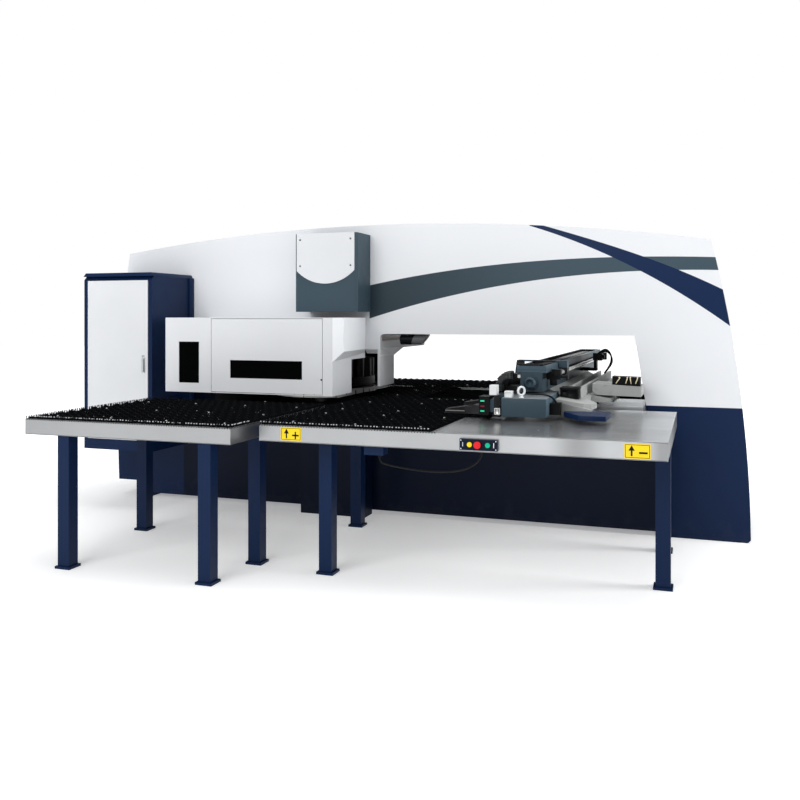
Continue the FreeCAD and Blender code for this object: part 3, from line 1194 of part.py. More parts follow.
def make_tube(name, corners, radius):
    path = smooth_path(corners)
    direction = (corners[1] - corners[0]).normalize()
    ring = Part.Wire([Part.makeCircle(radius, corners[0], direction)])
    tube = path.makePipeShell([ring], True, False)
    print(name, "volume ratio", round(tube.Volume / (math.pi * radius ** 2 * path.Length), 4))
    item = doc.addObject("Part::Feature", name)
    item.Shape = tube
    return item


def make_cable():
    """The cable from the junction box to the push buttons, which two clips hold."""
    mid = number("mid")
    corners = [FreeCAD.Vector(x, mid - y, z) for x, y, z in CABLE_POINTS]
    keep("button_cable", make_tube("button_cable", corners, CABLE_RADIUS))


make_frame()
make_ram_head()
make_turrets()
make_turret_cover()
make_die_hood()
make_cabinet()
make_tables()
make_throat_deck()
make_brushes()
make_casters()
make_stands()
make_rail_base()
make_saddle()
make_beam()
make_chains()
make_hose_tray()
make_carriage()
make_buttons()

doc.recompute()
faults = [item.Name for item in doc.Objects if "Invalid" in item.State or "Error" in item.State]
for name, item in nodes.items():
    if item.Shape.isNull() or not item.Shape.isValid() or not item.Shape.Solids:
        faults.append(name)
if faults:
    raise RuntimeError("not built: " + ", ".join(faults))

os.makedirs("parts", exist_ok=True)
for name, item in nodes.items():
    item.Shape.exportStep("parts/%s.step" % name)
print(len(nodes), "sub-parts written")
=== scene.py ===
import math
import random

import bmesh
import bpy
from mathutils import Matrix, Vector


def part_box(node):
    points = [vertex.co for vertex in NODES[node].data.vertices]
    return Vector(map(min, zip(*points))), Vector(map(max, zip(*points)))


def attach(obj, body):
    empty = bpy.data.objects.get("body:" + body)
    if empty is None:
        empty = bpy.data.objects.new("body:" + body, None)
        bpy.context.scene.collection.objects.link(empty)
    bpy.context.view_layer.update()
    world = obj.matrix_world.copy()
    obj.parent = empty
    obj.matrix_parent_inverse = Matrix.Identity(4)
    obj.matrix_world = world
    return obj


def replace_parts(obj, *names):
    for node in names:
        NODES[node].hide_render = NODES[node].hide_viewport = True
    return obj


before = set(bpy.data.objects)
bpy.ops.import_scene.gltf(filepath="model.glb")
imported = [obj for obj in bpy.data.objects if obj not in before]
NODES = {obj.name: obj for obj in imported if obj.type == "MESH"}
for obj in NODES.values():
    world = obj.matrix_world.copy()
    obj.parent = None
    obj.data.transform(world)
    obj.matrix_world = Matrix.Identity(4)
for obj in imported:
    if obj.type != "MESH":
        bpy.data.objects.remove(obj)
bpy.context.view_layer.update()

bl_info = {
    "name": "Turret punch press",
    "version": (1, 0, 0),
    "blender": (4, 5, 0),
    "location": "3D View > Sidebar > Punch press",
    "description": "Finishes and small pieces of a turret punch press with brush tables",
    "category": "Object",
}

FINISHES = {}

TURRET_CENTRE = (-0.887, 0.5935)
TURRET_REACH = 0.465
# x and z of the upper screw, which lies along Y; y and z of the lower one, along X
UPPER_SCREW = (1.425, 1.223)
LOWER_SCREW = (0.593, 0.865)
SCREW_LEAD = 0.04
DECK_HEIGHT = 0.9485


# ---------------------------------------------------------------- sizes and colours

def length(name, default, text):
    return bpy.props.FloatProperty(name=name, default=default, description=text, unit="LENGTH",
                                   precision=4)


def colour(name, default, text):
    return bpy.props.FloatVectorProperty(name=name, default=default, description=text,
                                         subtype="COLOR", size=3, min=0, max=1)


class PressSizes(bpy.types.PropertyGroup):
    """Sizes of the small pieces."""
    tuft_height: length("Tuft height", 0.018, "Height of a brush tuft above the deck")
    tuft_radius: length("Tuft radius", 0.0034, "Radius of a tuft at its foot")
    tuft_pitch: length("Tuft pitch", 0.019, "Distance between the tufts of a row")
    row_pitch: length("Row pitch", 0.026, "Distance between the rows of tufts")
    field_margin: length("Field margin", 0.014, "Bare rim round a brush field")
    paint_split: length("Paint split", 0.955, "Height at which the frame's paint changes")
    cable_diameter: length("Cable diameter", 0.012, "Diameter of the button cable")
    cable_length: length("Cable length", 0.82, "Length of the button cable")


class PressColours(bpy.types.PropertyGroup):
    """Colours of the paints, metals and plastics."""
    white: colour("White paint", (0.700, 0.712, 0.732), "Frame above the split, covers and doors")
    navy: colour("Navy paint", (0.0042, 0.0145, 0.050), "Frame below the split, cabinet and legs")
    slate: colour("Slate paint", (0.040, 0.064, 0.082), "Ram cover, carriage and cross beam")
    black: colour("Black paint", (0.006, 0.0065, 0.007), "Small housings")
    casting: colour("Casting paint", (0.330, 0.340, 0.330), "Saddle, duct and tray")
    stainless: colour("Stainless", (0.520, 0.530, 0.540), "Tables and rail covers")
    steel: colour("Ground steel", (0.500, 0.500, 0.490), "Lower turret, rails and screws")
    dark_steel: colour("Blackened steel", (0.030, 0.030, 0.032),
                       "Tools, upper turret, shafts and clamps")
    bristle: colour("Bristle", (0.003, 0.0035, 0.004), "Brush tufts and strips")
    yellow: colour("Yellow", (0.780, 0.560, 0.020), "Axis plates and the start button")
    red: colour("Red", (0.600, 0.020, 0.025), "Stop button")
    green: colour("Green", (0.010, 0.400, 0.230), "Reset button")
    hose: colour("Hose", (0.640, 0.560, 0.360), "Air hoses above the tray")


# ---------------------------------------------------------------- shader nodes

class Value:
    """A number that changes over a surface, with Python's arithmetic."""

    def __init__(self, finish, socket):
        self.finish = finish
        self.socket = socket

    def work(self, operation, *values):
        return self.finish.node("Math", {"operation": operation}, dict(enumerate(values)))

    def __add__(self, other):
        return self.work("ADD", self, other)

    def __sub__(self, other):
        return self.work("SUBTRACT", self, other)

    def __rsub__(self, other):
        return self.work("SUBTRACT", other, self)

    def __mul__(self, other):
        return self.work("MULTIPLY", self, other)

    __radd__ = __add__
    __rmul__ = __mul__

    def root(self):
        return self.work("SQRT", self)

    def either(self, other):
        """1 where this mask or the other is 1."""
        return self + other - self * other

    def wave(self, pitch):
        """0 to 1 and back once per pitch."""
        return self.work("PINGPONG", self, pitch / 2) * (2 / pitch)


class Finish:
    """One material with its principled shader and the object's own coordinates."""

    def __init__(self, name, base, roughness=0.5, metallic=0.0, coat=0.0, specular=0.1):
        self.material = bpy.data.materials.new(name)
        self.material.use_nodes = True
        self.material.diffuse_color = (*base, 1)
        self.tree = self.material.node_tree
        self.shader = self.tree.nodes["Principled BSDF"]
        values = {"Base Color": (*base, 1), "Roughness": roughness, "Metallic": metallic,
                  "Coat Weight": coat, "Coat Roughness": 0.12, "Specular IOR Level": specular}
        for key, value in values.items():
            self.shader.inputs[key].default_value = value
        self.place = self.tree.nodes.new("ShaderNodeTexCoord").outputs["Object"]
        apart = self.tree.nodes.new("ShaderNodeSeparateXYZ")
        self.tree.links.new(self.place, apart.inputs[0])
        self.x, self.y, self.z = (Value(self, socket) for socket in apart.outputs)

    def node(self, kind, settings, inputs, output=0):
        """A node of a kind, its settings set first, then its sockets' values or links."""
        node = self.tree.nodes.new("ShaderNode" + kind)
        for key, value in settings.items():
            setattr(node, key, value)
        for key, value in inputs.items():
            if isinstance(value, Value):
                value = value.socket
            if isinstance(value, bpy.types.NodeSocket):
                self.tree.links.new(value, node.inputs[key])
            else:
                node.inputs[key].default_value = value
        socket = node.outputs[output]
        return Value(self, socket) if socket.type == "VALUE" else socket

    def noise(self, scale, detail=3.0, stretch=(1, 1, 1), rough=0.5):
        """Noise of a scale per metre, drawn out along an axis by a small stretch."""
        place = self.node("Mapping", {}, {"Vector": self.place, "Scale": stretch})
        return self.node("TexNoise", {}, {"Vector": place, "Scale": scale, "Detail": detail,
                                          "Roughness": rough})

    def turned(self, place):
        """Fine turned lines along a place such as a radius or a height."""
        return self.node("TexNoise", {"noise_dimensions": "1D"},
                         {"W": place, "Scale": 700.0, "Detail": 3.0})

    def step(self, value, low, high):
        """A smooth step from 0 at low to 1 at high."""
        return self.node("MapRange", {"interpolation_type": "SMOOTHSTEP"},
                         {"Value": value, "From Min": low, "From Max": high})

    def between(self, value, low, high, soft=0.0008):
        return (self.step(value, low - soft, low + soft)
                * (1 - self.step(value, high - soft, high + soft)))

    def mix(self, factor, one, other):
        """Colour one where factor is 0, other where it is 1."""
        return self.node("Mix", {"data_type": "RGBA"}, {0: factor, 6: one, 7: other}, output=2)

    def tones(self, factor, base, low, high):
        """A base darkened or lightened between two shares."""
        return self.mix(factor, shade(base, low), shade(base, high))

    def radius(self, centre):
        """Distance from an upright axis."""
        dx, dy = self.x - centre[0], self.y - centre[1]
        return (dx * dx + dy * dy).root()

    def feed(self, name, value):
        socket = value.socket if isinstance(value, Value) else value
        self.tree.links.new(socket, self.shader.inputs[name])

    def done(self, tone, roughness, relief=None, depth=0.00006):
        """Feeds the last colour, roughness and relief, and gives the material."""
        self.feed("Base Color", tone)
        self.feed("Roughness", roughness)
        if relief:
            self.feed("Normal", self.node("Bump", {}, {"Height": relief, "Distance": depth}))
        return self.material


def shade(tone, factor):
    return tuple(min(1.0, channel * factor) for channel in tone[:3]) + (1,)


def polynomial(value, factors):
    """A polynomial of a value, highest power first."""
    total = value * factors[0] + factors[1]
    for factor in factors[2:]:
        total = total * value + factor
    return total


# ---------------------------------------------------------------- paints

# upper and lower edge of the stripes, as polynomials of x
SLATE_STRIPE = ((0.00331, -0.05755, 0.17384, 1.9054), (0.00172, -0.07089, 0.27911, 1.65834))
NAVY_STRIPE = ((-0.03979, 0.13935, -0.48189, 2.75014), (-0.0144, -0.07076, -0.12522, 2.54602))


def powder_paint(name, base, gloss=0.38):
    """Powder paint: fine orange peel, a faint cloudy tone and finger-dull patches."""
    paint = Finish(name, base, gloss)
    dull = paint.step(paint.noise(7, 6), 0.5, 0.7)
    return paint.done(paint.tones(paint.noise(1.7, 4), base, 0.92, 1.07),
                      paint.noise(26, 4) * 0.14 + dull * 0.1 + (gloss - 0.08),
                      paint.noise(900, 2))


def frame_paint(colours, split):
    """White above a split and navy below it, two bowed stripes, and painted shade in the throat's
    bay and on the front under the tables.
    """
    paint = Finish("frame_paint", colours.white, 0.36)
    x, y, z = paint.x, paint.y, paint.z
    soft = 0.0012
    cloud = paint.noise(1.3, 4)
    front = paint.step(0 - y, 0.003, 0.005)

    def stripe(top_and_foot, start, end):
        top, foot = (polynomial(x, factors) for factors in top_and_foot)
        inside = paint.between(z - foot, 0, 5, soft) * paint.between(top - z, 0, 5, soft)
        return inside * paint.step(x, start, end) * front

    slate_band = stripe(SLATE_STRIPE, -0.225, -0.223)
    navy_band = stripe(NAVY_STRIPE, 1.09, 1.095)
    slate = paint.tones(paint.step(x, -0.3, 1.6), colours.slate, 0.62, 1.15)
    low = 1 - paint.step(z, split - soft, split + soft)
    body = paint.mix(low, paint.tones(cloud, colours.white, 0.97, 1.02),
                     paint.tones(cloud, colours.navy, 0.80, 1.25))
    body = paint.mix(slate_band, body, slate)
    body = paint.mix(navy_band, body, shade(colours.navy, 1.2))
    # painted shade: the throat's bay, its back wall and ceiling, is painted near black
    wall = paint.between(x, -1.67, -0.1335, 0.001) * paint.step(y, -0.0062, -0.0058)
    wall = wall * paint.between(z, 0.61, 1.345, 0.001)
    ceiling = paint.between(x, -1.67, -0.255, 0.001) * paint.between(y, -0.0058, 1.1932, 0.0003)
    bay = wall + ceiling * paint.between(z, 1.34, 1.52, 0.001)
    body = paint.mix(bay, body, (0.008, 0.008, 0.009, 1))
    # painted shade: the frame's front behind the left table is darkened almost to black
    under = paint.between(x, -1.98, -0.20, 0.002) * front * paint.between(z, 0.60, 1.012, 0.002)
    body = paint.mix(under, body, shade(colours.navy, 0.16))
    # painted shadow: the tables' shade on the frame's front below the deck
    gloom = (1 - paint.step(x, 2.02, 2.22)) * paint.step(x, -1.99, -1.97) * front
    gloom = gloom * (1 - paint.step(z, 0.86, 0.95))
    body = paint.mix(gloom * 0.72, body, shade(colours.navy, 0.12))
    tint = paint.between(y, 0.0415, 0.5174, 0.004) * paint.between(z, 1.408, 1.462, 0.004)
    tint = tint * paint.between(x, -0.1345, -0.1300, 0.0005)
    body = paint.mix(tint, body, (0.19, 0.13, 0.085, 1))
    scuff = paint.step(paint.noise(9, 6) - z * 1.6, 0.30, 0.52)
    return paint.done(paint.mix(scuff * 0.05, body, (0.10, 0.10, 0.10, 1)),
                      paint.noise(14, 4) * 0.12 + 0.28 + scuff * 0.2,
                      paint.noise(700, 2) + (slate_band + navy_band) * 0.6, 0.00012)


def lamp_paint(name, colours):
    """Work lamp: a black holder on the left and a grey barrel on the right."""
    paint = Finish(name, colours.black, 0.4)
    barrel = paint.step(paint.x - (paint.z - 1.424) * 0.4, 0.1275, 0.1285)
    cloud = paint.noise(8, 3)
    grey = paint.mix(cloud, (0.085, 0.090, 0.095, 1), (0.13, 0.135, 0.14, 1))
    return paint.done(paint.mix(barrel, shade(colours.black, 0.8), grey),
                      cloud * 0.1 + 0.42 - barrel * 0.12, paint.noise(600, 2), 0.00005)


def beam_paint(name, colours):
    """Slate beam: painted light on the trough bar, painted shade on the body under it, and painted
    shade blackening the trough inside and a pocket in its front.
    """
    paint = Finish(name, colours.slate, 0.4)
    x, y, z = paint.x, paint.y, paint.z
    cloud = paint.noise(3, 4)
    # painted shade: the trough's inside is painted near black
    trough = paint.between(x, 1.2155, 1.3725, 0.0005) * paint.step(z, 1.2, 1.2005)
    trough = trough * paint.step(y, -1.0060, -1.0055)
    # painted light on the bar above z 1.244, painted shade on the body below it
    tone = paint.tones(paint.step(z, 1.2435, 1.2445), colours.slate, 0.85, 1.3)
    tone = paint.mix(cloud * 0.4, tone, shade(colours.slate, 0.9))
    groove = paint.between(z, 1.2595, 1.2615, 0.0003) + paint.between(z, 1.2425, 1.2440, 0.0003)
    tone = paint.mix(groove * 0.7, tone, shade(colours.slate, 0.25))
    # painted shadow in a pocket of the beam's front
    pocket = paint.between(x, 1.3625, 1.3925, 0.0005) * paint.between(z, 1.165, 1.238, 0.0005)
    inside = trough + pocket * paint.step(0 - y, 1.0255, 1.0258)
    return paint.done(paint.mix(inside, tone, (0.004, 0.0045, 0.006, 1)),
                      cloud * 0.12 + 0.34 + inside * 0.3, paint.noise(800, 2))


def guard_paint(name, colours):
    """Sheet guard: white outside, with painted shade blackening its face towards the turrets."""
    paint = Finish(name, colours.white, 0.4)
    cloud = paint.noise(1.7, 4)
    # painted shade: the guard's face towards the turrets is black
    outside = paint.step(paint.y, 1.2190, 1.2195)
    white = paint.tones(cloud, colours.white, 0.94, 1.05)
    return paint.done(paint.mix(outside, (0.006, 0.006, 0.007, 1), white),
                      cloud * 0.12 + 0.34, paint.noise(900, 2))


def shell_paint(name, colours):
    """Motor cover: slate, with a painted reflection paling its top and painted light on its right
    side.
    """
    paint = Finish(name, colours.slate, 0.4)
    cloud = paint.noise(5, 4)
    # painted reflection: the top is a paler grey
    top = paint.step(paint.z - paint.y * 0.02, 1.1175, 1.1180)
    # painted light: the right side is lighter
    side = paint.step(paint.x, 1.4305, 1.4312)
    tone = paint.tones(cloud, colours.slate, 0.9, 1.1)
    tone = paint.mix(side * 0.5, tone, shade(colours.slate, 2.2))
    return paint.done(paint.mix(top, tone, (0.150, 0.168, 0.180, 1)),
                      cloud * 0.12 + 0.34, paint.noise(900, 2))


def carriage_paint(name, colours):
    """Slate paint low on the carriage, blackened over the beam."""
    paint = Finish(name, colours.slate, 0.42)
    x, y, z = paint.x, paint.y, paint.z
    cloud = paint.noise(3, 4)
    bridge = paint.step(z, 1.286, 1.288) * paint.between(x, 1.152, 1.2155)
    rail_side = paint.step(z, 1.250, 1.252) * paint.step(x, 1.3725, 1.3735)
    high = paint.step(z, 1.108, 1.112) * (1 - bridge) * (1 - rail_side)
    dark = high.either(paint.step(0 - y, 1.240, 1.245))
    slate = paint.tones(cloud, colours.slate, 0.85, 1.1)
    return paint.done(paint.mix(dark, slate, shade(colours.black, 1.6)),
                      cloud * 0.15 + 0.34, paint.noise(800, 2))


def cast_paint(name, base):
    """Painted casting: a slightly uneven skin under satin paint, with handling marks."""
    paint = Finish(name, base, 0.42)
    cloud = paint.noise(3.2, 5)
    marks = paint.step(paint.noise(24, 6, (1, 0.4, 1)), 0.56, 0.72)
    tone = paint.tones(cloud, base, 0.82, 1.16)
    return paint.done(paint.mix(marks * 0.35, tone, shade(base, 0.5)), cloud * 0.2 + 0.34,
                      paint.noise(55, 3) + paint.noise(500, 2) * 0.4, 0.0005)


def apron_paint(name, base):
    """The wing's sloped front, with painted shade darkening it towards the motor cover."""
    paint = Finish(name, base, 0.4)
    cloud = paint.noise(12, 4)
    # painted shade: darker towards the left, beside the motor cover
    tone = paint.tones(paint.step(paint.x, 1.50, 1.66), base, 0.28, 1.05)
    return paint.done(paint.mix(cloud * 0.3, tone, shade(base, 0.6)),
                      cloud * 0.12 + 0.34, paint.noise(500, 2), 0.0001)


# ---------------------------------------------------------------- metals

def brushed_sheet(name, base):
    """Stainless sheet with fine grinding lines and soft stains."""
    sheet = Finish(name, base, 0.26, metallic=0.9)
    lines = sheet.noise(60, 4, (30, 1, 30), 0.7)
    cloud = sheet.noise(2.2, 5)
    tone = sheet.tones(cloud, base, 0.80, 1.12)
    return sheet.done(sheet.mix(lines * 0.3, tone, shade(base, 1.3)),
                      lines * 0.16 + cloud * 0.14 + 0.14, lines, 0.00012)


def table_sheet(name, colours, fields):
    """Stainless tables: black under the brush fields, ground sheet with soft stains elsewhere."""
    steel = colours.stainless
    sheet = Finish(name, steel, 0.3, metallic=0.9)
    x, y, z = sheet.x, sheet.y, sheet.z
    top = sheet.step(z, 0.9480, 0.9488)
    under = None
    for left, right, front, rear in fields:
        one = sheet.between(x, left, right) * sheet.between(y, front, rear)
        under = one if under is None else under + one
    lines = sheet.noise(45, 4, (1, 26, 26), 0.7)
    cloud = sheet.noise(2.6, 6)
    patch = sheet.step(sheet.noise(1.4, 2, (1, 2, 1)), 0.40, 0.62)
    tone = sheet.tones(cloud, steel, 0.66, 0.86)
    # painted shade: the aprons darken at x 1.62 to 1.80 and right of x 2.1
    dull = sheet.between(x, 1.62, 1.80, 0.09) + sheet.step(x, 2.07, 2.15)
    tone = sheet.mix(dull * 0.8, tone, shade(steel, 0.34))
    # painted shade: the aprons are darker left of x 1.0 to 1.6
    tone = sheet.mix(1 - sheet.step(x, 1.0, 1.6), tone, sheet.tones(cloud, steel, 0.50, 0.70))
    plate = sheet.tones(patch, steel, 0.98, 0.62)
    tone = sheet.mix(top, tone, sheet.mix(cloud * 0.5, plate, shade(steel, 1.1)))
    tone = sheet.mix(lines * 0.22, tone, shade(steel, 1.25))
    foot = 0.9395
    rim = sheet.between(z, foot, DECK_HEIGHT, 0.0003) * sheet.step(0.92 - x, 0, 0.01)
    teeth = sheet.step((z - foot) * 111 - (x + y).wave(0.0175), -0.05, 0.05)
    black = (under * top).either(rim * teeth)
    sheet.feed("Metallic", 0.92 - black * 0.92)
    return sheet.done(sheet.mix(black, tone, (0.004, 0.0045, 0.005, 1)),
                      lines * 0.12 + cloud * 0.14 + 0.20 + black * 0.5 - top * 0.10, lines)


def turned_steel(name, base, centre=None, rough=0.3):
    """Ground steel; turned lines run round a centre where one is given."""
    steel = Finish(name, base, rough, metallic=1.0)
    cloud = steel.noise(7, 5)
    lines = (steel.turned(steel.radius(centre)) if centre
             else steel.noise(220, 3, (1, 1, 9), 0.6))
    return steel.done(steel.tones(cloud, base, 0.75, 1.15),
                      lines * 0.18 + cloud * 0.16 + (rough - 0.14), lines, 0.00008)


def caster_steel(name, base):
    """Ball casters: a bright ball in a dark cup."""
    steel = Finish(name, base, 0.2, metallic=1.0)
    ball = steel.step(steel.z, 0.9640, 0.9650)
    return steel.done(steel.mix(ball, (0.008, 0.008, 0.008, 1), shade(base, 0.9)),
                      steel.noise(200, 3) * 0.12 + 0.42 - ball * 0.26)


def jaw_steel(name, base):
    """Blackened jaws; the front one has a bright edge along its foot."""
    steel = Finish(name, base, 0.45, metallic=0.3)
    edge = steel.between(steel.z, 0.9860, 0.9925, 0.0004) * steel.step(-0.9 - steel.y, 0, 0.01)
    cloud = steel.noise(40, 3)
    return steel.done(steel.mix(edge, shade(base, 0.5), (0.26, 0.26, 0.25, 1)),
                      cloud * 0.15 + 0.38, cloud)


def rim_steel(name, base, centre):
    """Lower turret: a ground rim brightened by painted light, with dark stations round it, and
    darker above.
    """
    steel = Finish(name, base, 0.34, metallic=0.35)
    turn = steel.x.work("ARCTAN2", steel.y - centre[1], steel.x - centre[0])
    rim = steel.step(steel.radius(centre), 0.444, 0.446)
    station = steel.step(turn.wave(math.tau / 30), 0.86, 0.90)
    station = station * steel.between(steel.z, 0.938, 0.972, 0.001)
    seam = steel.step(turn.wave(math.tau / 10), 0.972, 0.985)
    lines = steel.turned(steel.z)
    # painted light: the rim outside r 0.445 is bright; inside it the top is dark
    tone = steel.mix(rim, shade(base, 0.10), steel.tones(lines * 0.5, base, 1.0, 0.8))
    return steel.done(steel.mix(rim * station.either(seam), tone, (0.01, 0.01, 0.01, 1)),
                      lines * 0.12 + 0.30, lines)


def screw_steel(name, base, centre):
    """Ball screw: a groove of the thread's lead that winds round an axis along Y.

    The lower screw lies along X, so this groove doesn't wind round it."""
    steel = Finish(name, base, 0.24, metallic=0.6)
    turn = steel.z.work("ARCTAN2", steel.z - centre[1], steel.x - centre[0])
    groove = steel.y * (2 * math.pi / SCREW_LEAD) - turn
    deep = steel.step(groove.work("SINE", groove), 0.2, 0.75)
    # painted shade: the groove is darker than the ridges
    return steel.done(steel.tones(deep, base, 1.35, 0.6),
                      deep * 0.25 + steel.noise(300, 2) * 0.1 + 0.17, 1 - deep, 0.002)


# ---------------------------------------------------------------- plastics, rubber and bristle

def felt(name):
    """Dead-black mat under the brushes."""
    mat = Finish(name, (0.0025, 0.003, 0.003), 0.95, specular=0.0)
    fibre = mat.noise(500, 3)
    return mat.done(mat.mix(fibre, (0.002, 0.002, 0.0025, 1), (0.006, 0.0065, 0.007, 1)),
                    fibre * 0.08 + 0.9, fibre, 0.0003)


def plastic(name, base, gloss=0.35, specular=0.06):
    """Moulded plastic with a fine spark-eroded grain."""
    mould = Finish(name, base, gloss, specular=specular)
    speck = mould.noise(1400, 2)
    return mould.done(mould.tones(mould.noise(30, 3), base, 0.88, 1.12),
                      speck * 0.16 + (gloss - 0.08), speck, 0.00005)


def dark_glass(name):
    """Smoked acrylic window with faint wipe marks."""
    glass = Finish(name, (0.0012, 0.0014, 0.0014), 0.16, specular=0.004)
    wipe = glass.noise(6, 5, (1, 1, 3))
    return glass.done(glass.mix(wipe, (0.0009, 0.0011, 0.0011, 1), (0.0018, 0.0021, 0.0022, 1)),
                      wipe * 0.12 + 0.04)


def bristle_nylon(name, base):
    """Black nylon bristles, glossier towards their tips, with painted sheen lightening the tips
    and painted glints on a few of them.
    """
    nylon = Finish(name, base, 0.7, specular=0.02)
    # painted sheen: the tips are a little lighter
    tips = nylon.step(nylon.z, 0.952, 0.968)
    strand = nylon.noise(420, 2, (1, 1, 0.15))
    # painted glints: a few tips are pale grey
    pale = nylon.step(nylon.z, 0.9630, 0.9650) * nylon.step(nylon.noise(38, 1), 0.72, 0.74)
    tone = nylon.mix(tips * strand, shade(base, 0.7), (0.012, 0.013, 0.015, 1))
    return nylon.done(nylon.mix(pale, tone, (0.30, 0.31, 0.32, 1)),
                      0.78 - tips * 0.12 + strand * 0.1, strand, 0.0004)


def tip_nylon(name, base):
    """Tufts at the rim of a field: black stems, some front ones with painted glints on their tips.
    """
    nylon = Finish(name, base, 0.6, specular=0.05)
    front = nylon.step(0 - nylon.y, 1.88, 1.885)
    # painted glints: some front tips are pale grey
    pale = nylon.step(nylon.z, 0.9610, 0.9660) * nylon.step(nylon.noise(60, 1), 0.42, 0.46)
    strand = nylon.noise(500, 2, (1, 1, 0.15))
    return nylon.done(nylon.mix(pale * front, shade(base, 1.0), (0.52, 0.53, 0.54, 1)),
                      strand * 0.1 + 0.7, strand, 0.0002)


def glow(name, base):
    """Small lamp lens with a soft glow in its middle."""
    lens = Finish(name, base, 0.2, coat=0.4)
    ripple = lens.noise(900, 2)
    lens.feed("Emission Color", lens.tones(ripple, base, 0.8, 1.4))
    lens.shader.inputs["Emission Strength"].default_value = 0.35
    return lens.done(lens.tones(ripple, base, 0.8, 1.2), ripple * 0.1 + 0.15)


def jacket(name, base, gloss=0.42):
    """Rubber jacket of cables and hoses, with faint ribs and dust."""
    rubber = Finish(name, base, gloss)
    dust = rubber.noise(60, 4)
    return rubber.done(rubber.tones(dust, base, 0.8, 1.5), dust * 0.18 + (gloss - 0.08),
                       rubber.noise(800, 2), 0.0001)


def make_finishes(sizes, colours):
    """Every finish of the machine, by name."""
    FINISHES.update({
        "frame": frame_paint(colours, sizes.paint_split),
        "white": powder_paint("white_powder", colours.white),
        # painted shade: a darker copy of the white paint for the ram shield and cabinet door
        "panel": powder_paint("white_powder_painted_shade", shade(colours.white, 0.90)[:3]),
        # painted light: a lighter copy of the white paint for the cover's shoulder and slopes
        "pale": powder_paint("white_powder_painted_light", shade(colours.white, 1.22)[:3]),
        "navy": powder_paint("navy_powder", colours.navy, 0.36),
        "deep_navy": powder_paint("deep_navy_powder", shade(colours.navy, 0.35)[:3], 0.36),
        "slate": powder_paint("slate_powder", colours.slate, 0.40),
        "black": powder_paint("black_powder", colours.black, 0.42),
        "casting": cast_paint("casting_paint", colours.casting),
        "apron": apron_paint("apron_paint", colours.casting),
        "table": table_sheet("table_sheet", colours, brush_fields(0.004)),
        "sheet": brushed_sheet("stainless_sheet", colours.stainless),
        "steel": turned_steel("ground_steel", colours.steel),
        # painted light: a brighter steel than the ground steel, so that the lower turret's rim
        # stands out lit
        "turret": rim_steel("turned_turret", (0.62, 0.62, 0.60), TURRET_CENTRE),
        "jaw": jaw_steel("jaw_steel", colours.dark_steel),
        "dark_steel": turned_steel("blackened_steel", colours.dark_steel, None, 0.42),
        "dark_turret": turned_steel("blackened_turret", colours.dark_steel, TURRET_CENTRE, 0.42),
        "caster": caster_steel("caster_steel", colours.steel),
        "lamp": lamp_paint("lamp_paint", colours),
        "beam": beam_paint("beam_paint", colours),
        "felt": felt("brush_mat"),
        "guard": guard_paint("guard_paint", colours),
        "shell": shell_paint("shell_paint", colours),
        "chain": plastic("chain_plastic", (0.010, 0.0105, 0.012), 0.22, 0.5),
        "carriage": carriage_paint("carriage_paint", colours),
        "upper_screw": screw_steel("upper_thread", colours.steel, UPPER_SCREW),
        "lower_screw": screw_steel("lower_thread", colours.steel, LOWER_SCREW),
        "black_plastic": plastic("black_plastic", (0.006, 0.0062, 0.0068)),
        "white_plastic": plastic("white_plastic", (0.74, 0.75, 0.76)),
        "yellow": plastic("yellow_plastic", colours.yellow, 0.28),
        "red": plastic("red_plastic", colours.red, 0.26),
        "green": plastic("green_plastic", colours.green, 0.26),
        "glass": dark_glass("smoked_window"),
        "bristle": bristle_nylon("bristle_nylon", colours.bristle),
        "tips": tip_nylon("tip_nylon", colours.bristle),
        "rubber": jacket("cable_jacket", (0.005, 0.005, 0.006)),
        "hose": jacket("cream_hose", colours.hose, 0.3),
        "green_lamp": glow("green_lamp", (0.02, 0.55, 0.28)),
        "red_lamp": glow("red_lamp", (0.12, 0.006, 0.012)),
    })


# the solids of each finish; the rest are ground steel
SOLIDS = {
    "frame": "frame", "white": "turret_cover turret_door die_hoods nose_panel lifting_eye",
    "panel": "ram_shield cabinet_door", "slate": "ram_cover motor_cover", "guard": "rear_guard",
    "navy": "cabinet_body table_stands junction_box saddle_foot", "deep_navy": "button_box",
    "black": "lower_motor screw_bearings", "casting": "rail_base saddle cable_duct hose_tray",
    "sheet": "cabinet_lock rail_covers", "table": "left_table centre_table rear_table",
    "black_plastic": "cabinet_drives energy_chain hose_box valve_box", "felt": "throat_deck",
    "white_plastic": "limit_boxes", "glass": "side_window door_window",
    "bristle": "brush_strips", "rubber": "button_cable", "caster": "ball_casters",
    "dark_steel": "punches ram ram_bush upper_shaft lower_shaft clamps", "beam": "cross_beam",
    "carriage": "carriage", "lamp": "work_lamp", "upper_screw": "upper_screw",
    "lower_screw": "lower_screw", "dark_turret": "upper_turret", "turret": "lower_turret",
    "jaw": "front_jaw rear_jaw", "yellow": "start_button", "red": "stop_button",
    "green": "reset_button",
}


def brush_fields(margin):
    """The brush fields' left, right, front and rear edges, inside a margin."""
    left, centre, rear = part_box("left_table"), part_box("centre_table"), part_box("rear_table")
    edges = ((left[0].x, left[1].x, left[0].y, left[1].y),
             (centre[0].x, 0.890, centre[0].y, -1.1365),
             (centre[0].x, 1.050, -1.1365, -0.0465),
             (centre[0].x, 0.220, 0.0235, 1.1635),
             (rear[0].x, 1.050, rear[0].y + 0.040, rear[1].y))
    return [(a + margin, b - margin, c + margin, d - margin) for a, b, c, d in edges]


# ---------------------------------------------------------------- modelling by hand

